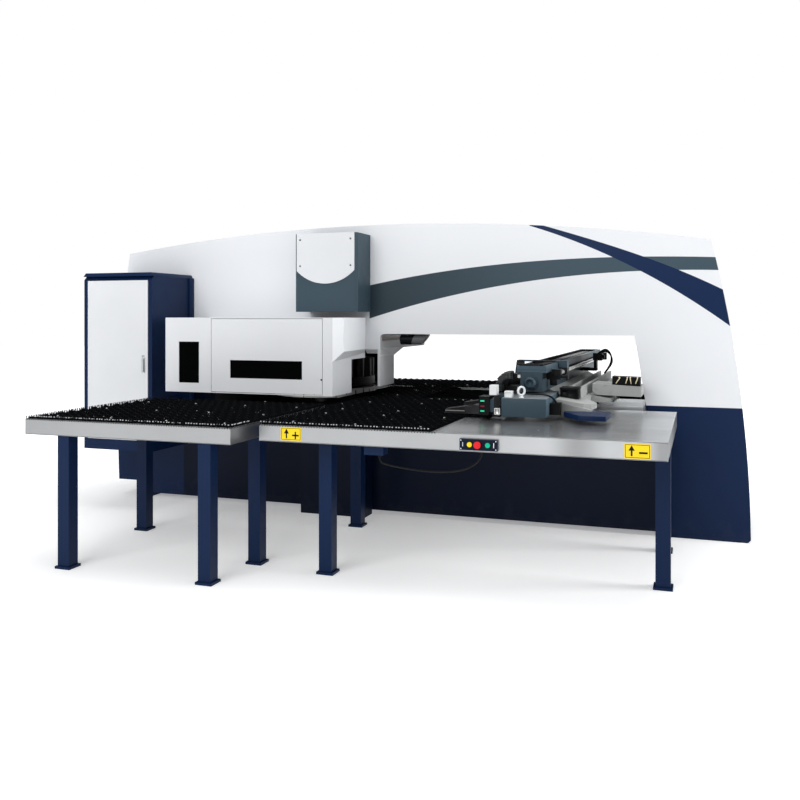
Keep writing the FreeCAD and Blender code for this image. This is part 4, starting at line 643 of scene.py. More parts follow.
TURNS = {
    "Z": Matrix.Identity(4),
    "-Z": Matrix.Rotation(math.pi, 4, "X"),
    "Y": Matrix.Rotation(-math.pi / 2, 4, "X"),
    "-Y": Matrix.Rotation(math.pi / 2, 4, "X"),
    "X": Matrix.Rotation(math.pi / 2, 4, "Y"),
}
MERGE = 0.00001
DENT_WALL = 0.0003


def faces_front(middle, way):
    return way.y < -0.9


def faces_up(middle, way):
    return way.z > 0.9


def faces_down(middle, way):
    return way.z < -0.9


def clear():
    """Back to object mode with nothing selected."""
    piece = bpy.context.view_layer.objects.active
    if piece and bpy.context.object and bpy.context.object.mode != "OBJECT":
        bpy.ops.object.mode_set(mode="OBJECT")
    bpy.ops.object.select_all(action="DESELECT")


def take(*pieces):
    """Selects the pieces, the first one active."""
    clear()
    for piece in pieces:
        piece.select_set(True)
    bpy.context.view_layer.objects.active = pieces[0]


def edit():
    """Into edit mode with everything selected."""
    bpy.ops.object.mode_set(mode="EDIT")
    bpy.ops.mesh.select_all(action="SELECT")


def settle(piece, name):
    """Names a new piece and puts its place into its mesh."""
    take(piece)
    bpy.ops.object.transform_apply(location=True, rotation=True, scale=True)
    piece.name = name
    piece.data.name = name
    return piece


def choose(piece, kind, test):
    """Selects in edit mode the faces or edges that pass a test of middle and direction."""
    take(piece)
    bpy.ops.object.mode_set(mode="EDIT")
    bpy.ops.mesh.select_mode(type=kind)
    bpy.ops.mesh.select_all(action="DESELECT")
    mesh = bmesh.from_edit_mesh(piece.data)
    mesh.normal_update()
    if kind == "FACE":
        for face in mesh.faces:
            face.select_set(bool(test(face.calc_center_median(), face.normal)))
    else:
        for edge in mesh.edges:
            one, two = (corner.co for corner in edge.verts)
            edge.select_set(bool(test((one + two) / 2, (two - one).normalized())))
    bmesh.update_edit_mesh(piece.data)


def smooth(piece, angle=35):
    take(piece)
    bpy.ops.object.shade_smooth_by_angle(angle=math.radians(angle))
    return piece


def bevel(rounding, segments=2):
    """Rounds the selected edges and leaves edit mode."""
    if rounding:
        bpy.ops.mesh.bevel(offset=rounding, segments=segments, affect="EDGES")
    bpy.ops.object.mode_set(mode="OBJECT")


def block(name, low, high, rounding=0.002, segments=2):
    """A box with rounded edges."""
    clear()
    low, high = Vector(low), Vector(high)
    bpy.ops.mesh.primitive_cube_add(size=1, location=(low + high) / 2, scale=high - low)
    piece = settle(bpy.context.object, name)
    edit()
    bevel(rounding, segments)
    return smooth(piece)


def blocks(name, corners, rounding=0.002, segments=2):
    """Boxes from pairs of corners, joined."""
    return join(name, [block("block", *pair, rounding, segments) for pair in corners])


def panel(name, low, high, rim, depth, rounding=0.003, segments=2):
    """A box with a panel sunk into its front."""
    return dent(block(name, low, high, rounding, segments), faces_front, rim, depth)


def disc(name, middle, axis, radius, depth, sides=32, rounding=0.001, top=None):
    """A round piece from its foot's middle along an axis, its top rim rounded; top narrows it."""
    clear()
    bpy.ops.mesh.primitive_cone_add(vertices=sides, radius1=radius, radius2=top or radius,
                                    depth=depth, location=(0, 0, depth / 2))
    piece = settle(bpy.context.object, name)
    if rounding:
        choose(piece, "EDGE", lambda at, way: at.z > depth * 0.99 and abs(way.z) < 0.1)
        bevel(rounding)
    piece.data.transform(Matrix.Translation(Vector(middle)) @ TURNS[axis])
    return smooth(piece)


def torus(name, middle, radius, thickness, around=40, across=8, turn=0):
    """An upright ring that faces the front before its turn."""
    clear()
    bpy.ops.mesh.primitive_torus_add(major_radius=radius, minor_radius=thickness, location=middle,
                                     major_segments=around, minor_segments=across,
                                     rotation=(math.pi / 2, 0, turn))
    return settle(bpy.context.object, name)


def loft(name, first, second, rounding=0.0):
    """A solid between two outlines of as many corners each."""
    clear()
    bpy.ops.mesh.primitive_circle_add(vertices=len(first), fill_type="NGON", location=(0, 0, 0))
    piece = settle(bpy.context.object, name)
    edit()
    bpy.ops.mesh.extrude_region_move(TRANSFORM_OT_translate={"value": (0, 0, 1)})
    bpy.ops.object.mode_set(mode="OBJECT")
    foot = [corner.co.xy.copy() for corner in piece.data.vertices if corner.co.z < 0.5]
    for corner in piece.data.vertices:
        index = min(range(len(foot)), key=lambda at: (foot[at] - corner.co.xy).length)
        corner.co = (second if corner.co.z > 0.5 else first)[index]
    edit()
    bpy.ops.mesh.normals_make_consistent(inside=False)
    bevel(rounding)
    return smooth(piece, 30)


def prism(name, outline, axis, low, high, rounding=0.0):
    """An outline drawn out along an axis; it is given in the other two axes, in their order."""
    place = "XYZ".index(axis)
    ends = [[(*point[:place], at, *point[place:]) for point in outline] for at in (low, high)]
    return loft(name, *ends, rounding)


def wall(y, *corners):
    """Corners of an upright outline that faces the front."""
    return [(x, y, z) for x, z in corners]


def carve(piece, tool):
    """Cuts a tool's shape out of a piece."""
    cutter = piece.modifiers.new("carve", "BOOLEAN")
    cutter.operation = "DIFFERENCE"
    cutter.solver = "EXACT"
    cutter.object = tool
    take(piece)
    bpy.ops.object.modifier_apply(modifier=cutter.name)
    bpy.data.objects.remove(tool)
    return piece


def dent(piece, test, rim, depth):
    """Sinks the chosen faces inside a rim."""
    choose(piece, "FACE", test)
    bpy.ops.mesh.inset(thickness=rim, depth=0, use_even_offset=True)
    bpy.ops.mesh.inset(thickness=DENT_WALL, depth=-depth, use_even_offset=True)
    bpy.ops.object.mode_set(mode="OBJECT")
    return piece


def copies(name, pattern, places):
    """Copies a piece that stands on the origin along Z to every (point, way) and joins them."""
    made = []
    for point, way in places:
        turn = (TURNS[way] if way in TURNS
                else Vector(way).to_track_quat("Z", "Y").to_matrix().to_4x4())
        copy = pattern.copy()
        copy.data = pattern.data.copy()
        copy.data.transform(Matrix.Translation(Vector(point)) @ turn)
        bpy.context.scene.collection.objects.link(copy)
        made.append(copy)
    bpy.data.objects.remove(pattern)
    return join(name, made)


def join(name, pieces):
    """Joins pieces into one."""
    take(*pieces)
    if len(pieces) > 1:
        bpy.ops.object.join()
    piece = bpy.context.view_layer.objects.active
    piece.name = name
    piece.data.name = name
    return piece


def line(points, radius, sides, steps):
    """A round line along a smooth path of points."""
    clear()
    bpy.ops.curve.primitive_nurbs_path_add()
    path = bpy.context.object
    path.data.splines.clear()
    spline = path.data.splines.new("NURBS")
    spline.points.add(len(points) - 1)
    for point, place in zip(spline.points, points):
        point.co = (*place, 1)
    spline.order_u = 3
    spline.use_endpoint_u = True
    path.location = (0, 0, 0)
    path.data.dimensions = "3D"
    path.data.bevel_depth = radius
    path.data.bevel_resolution = sides
    path.data.resolution_u = steps
    return path


def tube(name, points, radius):
    """A round tube along a smooth path of points, closed at its ends."""
    path = line(points, radius, 4, 6)
    path.data.use_fill_caps = True
    take(path)
    bpy.ops.object.convert(target="MESH")
    piece = bpy.context.object
    edit()
    bpy.ops.mesh.remove_doubles(threshold=MERGE)
    bpy.ops.mesh.normals_make_consistent(inside=False)
    bpy.ops.object.mode_set(mode="OBJECT")
    return smooth(settle(piece, name), 50)


def heads(name, places, finish, radius, depth, foot, sides=16, rounding=0.0006):
    """Heads of screws or rivets at every (point, way), sunk to a foot."""
    head = disc("head", (0, 0, foot), "Z", radius, depth, sides, rounding)
    return dress(copies(name, head, places), finish)


def dress(piece, finish, body="machine"):
    """Gives a piece its finish in a material slot, and the body it rides on."""
    piece.data.materials.clear()
    piece.data.materials.append(FINISHES[finish])
    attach(piece, body)
    return piece


def along(low, high, count):
    """Evenly spread places from low to high."""
    return [low + (high - low) * index / (count - 1) for index in range(count)]


# ---------------------------------------------------------------- finishes, view and cable

CABLE_EXIT = (0.540, -1.8165, 0.790)
CABLE_POINTS = (CABLE_EXIT, (0.540, -1.8165, 0.752), (0.575, -1.8175, 0.735),
                (0.640, -1.8185, 0.724), (0.760, -1.8195, 0.711), (0.890, -1.8185, 0.706),
                (1.010, -1.8175, 0.716), (1.095, -1.8175, 0.744), (1.148, -1.8195, 0.788),
                (1.168, -1.8205, 0.842), (1.170, -1.8485, 0.890), (1.170, -1.9025, 0.890))


class PRESS_OT_finishes(bpy.types.Operator):
    """Give every carried-over node its finish"""
    bl_idname = "press.finishes"
    bl_label = "Finishes"

    def execute(self, context):
        make_finishes(context.scene.press_sizes, context.scene.press_colours)
        wearing = {name: finish for finish, names in SOLIDS.items() for name in names.split()}
        for name, node in NODES.items():
            for slot in node.material_slots:
                slot.material = FINISHES[wearing.get(name, "steel")]
        return {"FINISHED"}


class PRESS_OT_view(bpy.types.Operator):
    """Place the camera at the picture's viewing angle"""
    bl_idname = "press.view"
    bl_label = "View"

    def execute(self, context):
        clear()
        bpy.ops.object.camera_add(location=(2.358, -6.6825, 1.606),
                                  rotation=(math.radians(90), 0, math.radians(19.15)))
        camera = context.object
        camera.name = "picture_camera"
        camera.data.sensor_width = 36
        camera.data.lens = 39.40
        camera.data.shift_y = -0.1039
        camera.data.clip_end = 200
        context.scene.camera = camera
        context.scene.view_settings.view_transform = "Standard"
        return {"FINISHED"}


class PRESS_OT_cable(bpy.types.Operator):
    """Hang the cable between the junction box and the button box"""
    bl_idname = "press.cable"
    bl_label = "Button cable"

    def execute(self, context):
        sizes = context.scene.press_sizes
        cable = line(CABLE_POINTS, sizes.cable_diameter / 2, 5, 10)
        cable.name = "button_lead"
        dress(cable, "rubber")
        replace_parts(cable, "button_cable")
        collar = disc("collar", (0, 0, 0), "-Z", 0.012, 0.009, sides=6, rounding=0.0008)
        nut = disc("nut", (0, 0, -0.009), "-Z", 0.0095, 0.010, sides=20, rounding=0.002,
                   top=0.0075)
        gland = join("gland", [collar, nut])
        dress(copies("cable_glands", gland, [(CABLE_EXIT, "Z")]), "black_plastic")
        return {"FINISHED"}


# ---------------------------------------------------------------- brush fields and tables

MAT_LOW, MAT_HIGH = 0.9486, 0.9494
TUFT_FOOT, TUFT_BEND = 0.9489, 0.955
EDGE_FOOT, EDGE_LEAN = 0.9470, 0.16
EDGE_PITCH, SIDE_PITCH = 0.0195, 0.0210
PLATE_WIDE, PLATE_HIGH = 0.063, 0.0350
PLATE_LINE = 0.0025
PLATE_MARKS = ((-PLATE_WIDE, PLATE_HIGH - PLATE_LINE, PLATE_WIDE, PLATE_HIGH),
               (-PLATE_WIDE, -PLATE_HIGH, PLATE_WIDE, PLATE_LINE - PLATE_HIGH),
               (-PLATE_WIDE, -PLATE_HIGH, PLATE_LINE - PLATE_WIDE, PLATE_HIGH),
               (PLATE_WIDE - PLATE_LINE, -PLATE_HIGH, PLATE_WIDE, PLATE_HIGH),
               (0.008, -0.0125, 0.052, -0.0025), (-0.034, -0.026, -0.025, 0.008))
PLUS_MARK = (0.0255, -0.0295, 0.0345, 0.0145)


class PRESS_OT_bristles(bpy.types.Operator):
    """Fill the brush fields with fine tufts"""
    bl_idname = "press.bristles"
    bl_label = "Brush tufts"

    def edge(self, name, left, right, front, rear):
        """A row of flared tufts, each on its own, round the rim of a field."""
        spot = random.Random(len(name))
        pattern = disc("tuft", (0, 0, 0), "Z", 0.0022, 0.021, sides=5, rounding=0, top=0.0046)
        dent(pattern, faces_up, 0.0012, 0.003)
        spread = range(int((right - left) / EDGE_PITCH) + 1)
        rows = [(left + EDGE_PITCH * index, front) for index in spread]
        for x in (left, right) if name == "left" else (left,):
            spread = range(1, int((rear - front) / SIDE_PITCH))
            rows += [(x, front + SIDE_PITCH * index) for index in spread]
        places = []
        for x, y in rows:
            lean = (spot.uniform(-EDGE_LEAN, EDGE_LEAN), spot.uniform(-EDGE_LEAN, EDGE_LEAN), 1)
            places.append(((x, y, EDGE_FOOT + spot.uniform(-0.001, 0.001)), lean))
        dress(copies("edge_tufts_" + name, pattern, places), "tips")

    def spread(self, tuft, count, offset):
        """Repeats a tuft at an offset."""
        array = tuft.modifiers.new("array", "ARRAY")
        array.count = count + 1
        array.use_relative_offset = False
        array.use_constant_offset = True
        array.constant_offset_displace = offset
        take(tuft)
        bpy.ops.object.modifier_apply(modifier=array.name)

    def tufts(self, name, sizes, left, right, front, rear):
        """The tufts of a field, their tips bent at random."""
        columns = int((right - left) / sizes.tuft_pitch)
        rows = int((rear - front) / sizes.row_pitch)
        tuft = disc("tuft", (0, 0, 0), "Z", sizes.tuft_radius, sizes.tuft_height, sides=5,
                    rounding=0, top=sizes.tuft_radius * 0.14)
        choose(tuft, "FACE", faces_down)
        bpy.ops.mesh.delete(type="ONLY_FACE")
        bpy.ops.object.mode_set(mode="OBJECT")
        tuft.data.transform(Matrix.Translation((left, front, TUFT_FOOT)))
        self.spread(tuft, columns, ((right - left) / columns, 0, 0))
        self.spread(tuft, rows, (0, (rear - front) / rows, 0))
        take(tuft)
        bpy.ops.object.mode_set(mode="EDIT")
        mesh = bmesh.from_edit_mesh(tuft.data)
        bpy.ops.mesh.select_mode(type="VERT")
        for corner in mesh.verts:
            corner.select_set(corner.co.z > TUFT_BEND)
        bmesh.update_edit_mesh(tuft.data)
        bpy.ops.transform.vertex_random(offset=0.0022, uniform=0.0, normal=0.0, seed=len(name))
        bpy.ops.object.mode_set(mode="OBJECT")
        tuft.name = "tufts_" + name
        dress(tuft, "bristle")

    def execute(self, context):
        sizes = context.scene.press_sizes
        names = ("left", "front", "middle", "throat", "rear")
        for name, field in zip(names, brush_fields(sizes.field_margin)):
            left, right, front, rear = field
            mat = block("mat_" + name, (left - 0.006, front - 0.006, MAT_LOW),
                        (right + 0.006, rear + 0.006, MAT_HIGH), 0.0002, 1)
            dress(mat, "felt")
            self.tufts(name, sizes, *field)
            if name in ("left", "front", "middle"):
                self.edge(name, left - 0.009, right + 0.009, front - 0.005, rear + 0.009)
        return {"FINISHED"}


class PRESS_OT_tables(bpy.types.Operator):
    """Add hems, rivets and screws to the tables"""
    bl_idname = "press.tables"
    bl_label = "Table trims"

    def execute(self, context):
        for name in ("left_table", "centre_table", "rear_table"):
            low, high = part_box(name)
            front, way, side = ((high.y, "Y", 1) if name == "rear_table" else (low.y, "-Y", -1))
            near, far = sorted((front - side * 0.0008, front))
            hems = [((low.x + 0.004, near, foot), (high.x - 0.004, far, top))
                    for foot, top in ((low.z + 0.001, low.z + 0.004),
                                      (high.z - 0.004, high.z - 0.001))]
            dress(blocks(name + "_hems", hems, 0.0003, 1), "sheet")
            places = [((x, front - side * 0.0002, low.z + 0.03), way)
                      for x in along(low.x + 0.08, high.x - 0.08, 5)]
            heads(name + "_rivets", places, "sheet", 0.005, 0.0028, -0.0028, rounding=0.001)
        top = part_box("centre_table")[1].z
        places = [((x, y, top), "Z")
                  for x in (0.96, 1.45, 1.95, 2.12) for y in (-1.86, -1.62, -1.38)]
        heads("deck_screws", places, "steel", 0.006, 0.0015, -0.0014)
        return {"FINISHED"}


class PRESS_OT_plates(bpy.types.Operator):
    """Fix the two yellow axis plates on the centre apron"""
    bl_idname = "press.plates"
    bl_label = "Axis plates"

    def execute(self, context):
        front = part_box("centre_table")[0].y
        for name, x, z, marks in (("left", 0.003, 0.899, (*PLATE_MARKS, PLUS_MARK)),
                                  ("right", 2.026, 0.896, PLATE_MARKS)):
            plate = panel("plate_" + name, (x - 0.068, front - 0.0010, z - 0.040),
                          (x + 0.068, front, z + 0.040), 0.003, 0.0001, 0)
            dress(plate, "yellow")
            bars = [block("mark", (x + left, front - 0.0014, z + foot),
                          (x + right, front - 0.0009, z + top), 0)
                    for left, foot, right, top in marks]
            clear()
            bpy.ops.mesh.primitive_cylinder_add(vertices=3, radius=0.019, depth=0.0005,
                                                location=(x - 0.0295, front - 0.00115, z + 0.012),
                                                rotation=(math.pi / 2, 0, 0))
            bars.append(settle(bpy.context.object, "arrow"))
            dress(join("plate_marks_" + name, bars), "black")
        return {"FINISHED"}


class PRESS_OT_buttons(bpy.types.Operator):
    """Add the bezels, corner screws and bars of the button box"""
    bl_idname = "press.buttons"
    bl_label = "Button box trims"

    def execute(self, context):
        low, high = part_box("button_box")
        rings = []
        for name, radius in (("start_button", 0.0175), ("stop_button", 0.0225),
                             ("reset_button", 0.0175)):
            near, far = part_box(name)
            middle = (near + far) / 2
            ring = torus("ring", (middle.x, low.y - 0.0008, middle.z), radius, 0.0018, 36)
            rings.append(smooth(ring))
        dress(join("button_rings", rings), "black")
        places = [((x, low.y, z), "-Y") for x in (low.x + 0.008, high.x - 0.008)
                  for z in (low.z + 0.008, high.z - 0.008)]
        heads("button_box_screws", places, "white_plastic", 0.0032, 0.0022, -0.001, 12)
        bars = [((left, low.y - 0.0008, foot), (right, low.y + 0.001, top))
                for left, right, foot, top in ((high.x - 0.022, high.x - 0.018, 0.878, 0.906),
                                               (low.x + 0.017, low.x + 0.020, 0.880, 0.904))]
        dress(blocks("button_box_bars", bars, 0.0003, 1), "white_plastic")
        return {"FINISHED"}


# ---------------------------------------------------------------- covers and cabinet

# outlines in metres: x and z at one y, or y and z along x
LATCH = (-0.354, 1.133)
LINTEL = ((-0.0060, 1.3565), (0.0480, 1.3565), (0.0480, 1.3060), (0.0440, 1.3060))
SHOULDER_FRONT = wall(-0.6710, (-0.266, 1.5990), (-0.172, 1.5990), (-0.172, 1.347),
                      (-0.266, 1.265))
SHOULDER_REAR = wall(-0.0068, (-0.266, 1.5990), (-0.259, 1.5990), (-0.259, 1.344),
                     (-0.266, 1.310))
CHEEK_FRONT = wall(-0.0064, (-0.153, 1.352), (-0.135, 1.352), (-0.1325, 1.283), (-0.153, 1.283))
CHEEK_REAR = (wall(0.5475, (-0.153, 1.350), (-0.112, 1.350))
              + wall(0.3455, (-0.1325, 1.285), (-0.153, 1.285)))


class PRESS_OT_covers(bpy.types.Operator):
    """Add the covers' screws, latch and slopes, and the deck beside the lower turret"""
    bl_idname = "press.covers"
    bl_label = "Cover trims"

    def execute(self, context):
        low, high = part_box("ram_shield")
        places = [((x, low.y, z), "-Y") for x in (low.x + 0.03, high.x - 0.03)
                  for z in (high.z - 0.05, high.z - 0.26)]
        heads("shield_screws", places, "steel", 0.008, 0.0015, -0.0015, 18)
        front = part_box("turret_door")[0].y
        knob = disc("knob", (0, 0, -0.002), "Z", 0.0055, 0.0035, sides=20)
        dent(knob, faces_up, 0.002, 0.0006)
        latch = copies("door_latch", knob, [((LATCH[0], front, LATCH[1]), "-Y")])
        dress(latch, "black_plastic", "turret_door")
        shoulder = loft("cover_shoulder", SHOULDER_FRONT, SHOULDER_REAR)
        slope = prism("lintel_slope", LINTEL, "X", -0.2660, -0.1420)
        cheek = loft("throat_slope", CHEEK_FRONT, CHEEK_REAR)
        covers = join("shoulder_covers", [shoulder, slope, cheek])
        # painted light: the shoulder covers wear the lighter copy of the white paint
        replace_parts(dress(covers, "pale"), "die_hoods")
        flank = block("flank", (-0.450, -0.6500, 0.938), (-0.2125, 1.1930, DECK_HEIGHT), 0)
        clear()
        bpy.ops.mesh.primitive_cylinder_add(vertices=96, radius=TURRET_REACH, depth=0.2,
                                            location=(*TURRET_CENTRE, 0.94))
        flank = carve(flank, settle(bpy.context.object, "ring"))
        dress(flank, "felt")
        flank.name = "deck_flank"
        return {"FINISHED"}


class PRESS_OT_cabinet(bpy.types.Operator):
    """Add a lock plate, a sloped roof, a back post and louvres to the cabinet"""
    bl_idname = "press.cabinet"
    bl_label = "Cabinet trims"

    def execute(self, context):
        low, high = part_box("cabinet_body")
        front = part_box("cabinet_door")[0].y
        lock_low, lock_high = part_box("cabinet_lock")
        plate = block("lock_plate", (lock_low.x - 0.006, front - 0.0018, lock_low.z - 0.012),
                      (lock_high.x + 0.006, front + 0.001, lock_high.z + 0.012), 0.0012)
        dress(plate, "sheet", "cabinet_door")
        rear = high.y - 0.001
        eaves = [(low.x, low.y), (high.x + 0.002, low.y), (high.x + 0.002, rear), (low.x, rear)]
        ridge = [(low.x + 0.012, low.y + 0.016), (high.x - 0.010, low.y + 0.016),
                 (high.x - 0.010, rear), (low.x + 0.012, rear)]
        roof = loft("cabinet_roof", [(x, y, high.z - 0.004) for x, y in eaves],
                    [(x, y, high.z + 0.026) for x, y in ridge], 0.001)
        dress(roof, "navy")
        back = block("cabinet_back", (high.x - 0.010, high.y - 0.060, low.z + 0.002),
                     (high.x + 0.018, rear, high.z - 0.001), 0.004)
        dress(back, "navy")
        slats = [((left, -0.42, 0.72 + index * 0.026), (right, -0.16, 0.731 + index * 0.026))
                 for index in range(9)
                 for left, right in ((high.x - 0.003, high.x), (low.x, low.x + 0.003))]
        dress(blocks("cabinet_louvres", slats, 0.001, 1), "navy")
        return {"FINISHED"}


# ---------------------------------------------------------------- carriage and saddle

# x and z of the chain, y and z of the shoe, x and y of the bite and the toe
CHAIN_LINE = ((1.101, 1.135), (1.100, 1.170), (1.108, 1.200), (1.128, 1.222), (1.154, 1.231),
              (1.182, 1.232))
SHOE = ((-1.245, 0.9735), (-1.215, 0.9735), (-1.195, 0.9865), (-1.245, 0.9865))
BITE = ((1.600, -1.0465), (1.800, -1.0465), (1.800, -0.3965), (1.605, -0.3965),
        (1.612, -0.6585), (1.692, -0.8125), (1.672, -0.9505))
TOE = ((1.520, -1.1165), (1.640, -1.3065), (1.800, -1.3065), (1.808, -1.0665),
       (1.680, -0.9165), (1.450, -0.9165), (1.450, -1.0315), (1.508, -1.0315))
APRON_LEFT = ((1.500, -1.0120, 0.9740), (1.500, -1.0900, 0.9760), (1.500, -1.0800, 1.0560),
              (1.500, -1.0060, 1.0540))
APRON_RIGHT = ((1.686, -1.0000, 1.0060), (1.688, -1.0420, 1.0070), (1.688, -1.0400, 1.0130),
               (1.686, -1.0000, 1.0130))
SHELL_FRONT = wall(-1.2465, (1.147, 0.975), (1.426, 0.975), (1.432, 0.982), (1.432, 1.095),
                   (1.147, 1.095))
SHELL_REAR = wall(-0.7485, (1.147, 0.985), (1.426, 0.985), (1.432, 0.992), (1.432, 1.105),
                  (1.147, 1.105))
EYE = (1.2678, -1.2065)
FLANGE = (1.290, 1.1775)
BEARING_BLOCKS = (((1.3855, -0.8440, 1.150), (1.4330, -0.792, 1.190), 0.002),
                  ((1.455, -0.840, 1.200), (1.5046, -0.795, 1.218), 0.002),
                  ((1.4985, -0.843, 1.185), (1.5065, -0.792, 1.221), 0.0015))
BRACKET_BLOCKS = (((1.369, 0.850, 1.150), (1.500, 0.950, 1.175), 0.003),
                  ((1.476, 0.855, 1.150), (1.500, 0.945, 1.290), 0.003),
                  ((1.468, 0.862, 1.236), (1.545, 0.935, 1.300), 0.004))
CONDUIT = ((1.290, -1.100, 1.112), (1.345, -1.118, 1.113), (1.400, -1.125, 1.112),
           (1.440, -1.125, 1.102), (1.463, -1.120, 1.082), (1.470, -1.100, 1.062),
           (1.470, -1.085, 1.052))


class PRESS_OT_carriage(bpy.types.Operator):
    """Add the chain links, lamps and small boxes of the clamp carriage"""
    bl_idname = "press.carriage"
    bl_label = "Carriage"

    def execute(self, context):
        link = block("link", (-0.029, -0.019, -0.0052), (0.029, 0.019, 0.0052), 0.0022, 1)
        rib = block("rib", (-0.024, -0.0225, -0.0022), (0.024, 0.0225, 0.0022), 0.001, 1)
        places = []
        for start, end in zip(CHAIN_LINE, CHAIN_LINE[1:]):
            way = (end[0] - start[0], 0, end[1] - start[1])
            for share in (0.0, 0.36, 0.70):
                x, z = start[0] + way[0] * share, start[1] + way[2] * share
                places += [((x, -1.024, z), way), ((x - 0.004, -1.074, z - 0.006), way)]
        dress(copies("chain_links", join("link", [link, rib]), places), "chain", "carriage")
        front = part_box("valve_box")[0].y
        for name, heights in (("green", (1.071, 1.007)), ("red", (1.037,))):
            bars = [((1.012, front - 0.0015, z - 0.0045), (1.038, front + 0.001, z + 0.0045))
                    for z in heights]
            dress(blocks("valve_lamps_" + name, bars, 0.0006, 1), name + "_lamp", "carriage")
        bezel = panel("bezel", (1.008, front - 0.0008, 0.998), (1.042, front + 0.002, 1.082),
                      0.003, 0.0004, 0.0008, 1)
        dress(bezel, "black_plastic", "carriage")
        silver = panel("silver_box", (1.104, -1.2590, 0.9865), (1.143, -1.205, 1.030),
                       0.005, 0.002)
        dress(silver, "steel", "carriage")
        slit = block("slit", (1.1165, -1.2475, 1.040), (1.1460, -1.244, 1.084), 0.001, 1)
        shoe = prism("shoe", SHOE, "X", 1.088, 1.142, 0.001)
        wiper = block("wiper", (1.205, -0.990, 1.2875), (1.368, -0.962, 1.2980), 0.001, 1)
        dress(join("carriage_shoe", [slit, shoe, wiper]), "black", "carriage")
        return {"FINISHED"}


class PRESS_OT_saddle(bpy.types.Operator):
    """Add the saddle's wing, toe, motor cover, eye, conduits and end brackets"""
    bl_idname = "press.saddle"
    bl_label = "Saddle"

    def casting(self):
        """The saddle casting with its right wing cut in behind the toe."""
        copy = NODES["saddle"].copy()
        copy.data = copy.data.copy()
        for key in list(copy.keys()):
            del copy[key]
        bpy.context.scene.collection.objects.link(copy)
        take(copy)
        edit()
        bpy.ops.mesh.remove_doubles(threshold=MERGE)
        bpy.ops.mesh.dissolve_limited(angle_limit=math.radians(0.5))
        bpy.ops.object.mode_set(mode="OBJECT")
        copy = carve(copy, prism("bite", BITE, "Z", 0.996, 1.130))
        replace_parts(dress(smooth(join("notched_saddle", [copy]), 30), "casting", "saddle"),
                    "saddle")

    def wing(self):
        """Toe, sloped apron and motor cover."""
        toe = prism("toe", TOE, "Z", 0.975, 1.006, 0.002)
        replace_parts(dress(toe, "navy", "saddle"), "saddle_foot")
        dress(loft("wing_apron", APRON_LEFT, APRON_RIGHT), "apron", "saddle")
        shell = loft("motor_shell", SHELL_FRONT, SHELL_REAR, 0.0035)
        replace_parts(dress(shell, "shell", "saddle"), "motor_cover")

    def front(self):
        """Lifting eye, limit switch box and the beam's flange."""
        ring = torus("ring", (*EYE, 1.1380), 0.0255, 0.0068, 40, 12, math.radians(48))
        neck = disc("neck", (*EYE, 1.094), "Z", 0.013, 0.014, sides=24, rounding=0.003, top=0.009)
        seat = disc("seat", (*EYE, 1.094), "Z", 0.0165, 0.005, sides=24)
        eye = smooth(join("eye_bolt", [ring, neck, seat]), 50)
        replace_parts(dress(eye, "white", "saddle"), "lifting_eye")
        box = panel("limit_box_right", (1.163, -1.2265, 1.095), (1.2135, -1.1865, 1.137),
                    0.006, 0.001)
        dress(box, "white_plastic", "saddle")
        x, z = FLANGE
        flange = disc("flange", (x, -1.0262, z), "-Y", 0.044, 0.007, sides=40, rounding=0.0015)
        hub = disc("hub", (x, -1.0330, z), "-Y", 0.034, 0.012, sides=40, rounding=0.004)
        dent(hub, faces_front, 0.010, 0.002)
        dress(join("beam_flange", [flange, hub]), "slate", "saddle")
        seal = smooth(torus("flange_seal", (x, -1.0335, z), 0.0385, 0.0035), 50)
        x, z = UPPER_SCREW
        cap = disc("screw_cap", (x, -0.8465, z), "-Y", 0.021, 0.008, sides=28, rounding=0.003)
        parts = [block("part", *corners) for corners in BEARING_BLOCKS]
        dress(join("bearing_parts", [seal, cap, *parts]), "black", "saddle")

    def duct(self):
        """The duct's end box and the motor's conduit."""
        box = panel("duct_end_box", (1.452, -0.8265, 1.060), (1.574, -0.7200, 1.130),
                    0.010, 0.004, 0.0025)
        lid = block("duct_lid", (1.448, -0.8285, 1.128), (1.578, -0.7180, 1.135), 0.0015)
        dent(lid, faces_up, 0.008, 0.001)
        socket = block("duct_socket", (1.470, -0.842, 1.075), (1.500, -0.826, 1.105))
        dress(join("duct_end", [box, lid, socket]), "black", "saddle")
        dress(tube("motor_conduit", CONDUIT, 0.0055), "rubber", "saddle")

    def rear(self):
        """The beam's rear bracket with its cables, and the air hoses on the tray."""
        parts = [block("part", *corners) for corners in BRACKET_BLOCKS]
        nut = disc("rear_nut", (1.545, 0.900, 1.268), "X", 0.019, 0.016, sides=6, rounding=0.002)
        dress(join("rear_bracket", [*parts, nut]), "black", "saddle")
        loops = []
        for y, drop in ((0.90, 0.0), (0.90 + 0.035, -0.012), (0.90 - 0.030, 0.010)):
            points = ((1.500, y, 1.285), (1.560, y, 1.335 + drop), (1.610, y, 1.300 + drop),
                      (1.625, y, 1.240 + drop), (1.600, y + 0.01, 1.180), (1.560, y + 0.02, 1.130))
            loops.append(tube("loop", points, 0.0065))
        dress(join("rear_cables", loops), "rubber", "saddle")
        hoses = []
        for x, lean in ((1.772, 0.022), (1.838, 0.010), (1.874, -0.004), (1.905, 0.012)):
            points = ((x, -0.3462, 1.138), (x + lean * 0.3, -0.3545, 1.150),
                      (x + lean, -0.3585, 1.168), (x + lean * 1.3, -0.3560, 1.186),
                      (x + lean * 0.8, -0.3450, 1.180))
            hoses.append(tube("air_hose", points, 0.0036))
        dress(join("air_hoses", hoses), "hose", "saddle")

    def execute(self, context):
        for make in (self.casting, self.wing, self.front, self.duct, self.rear):
            make()
        return {"FINISHED"}


# ---------------------------------------------------------------- stage

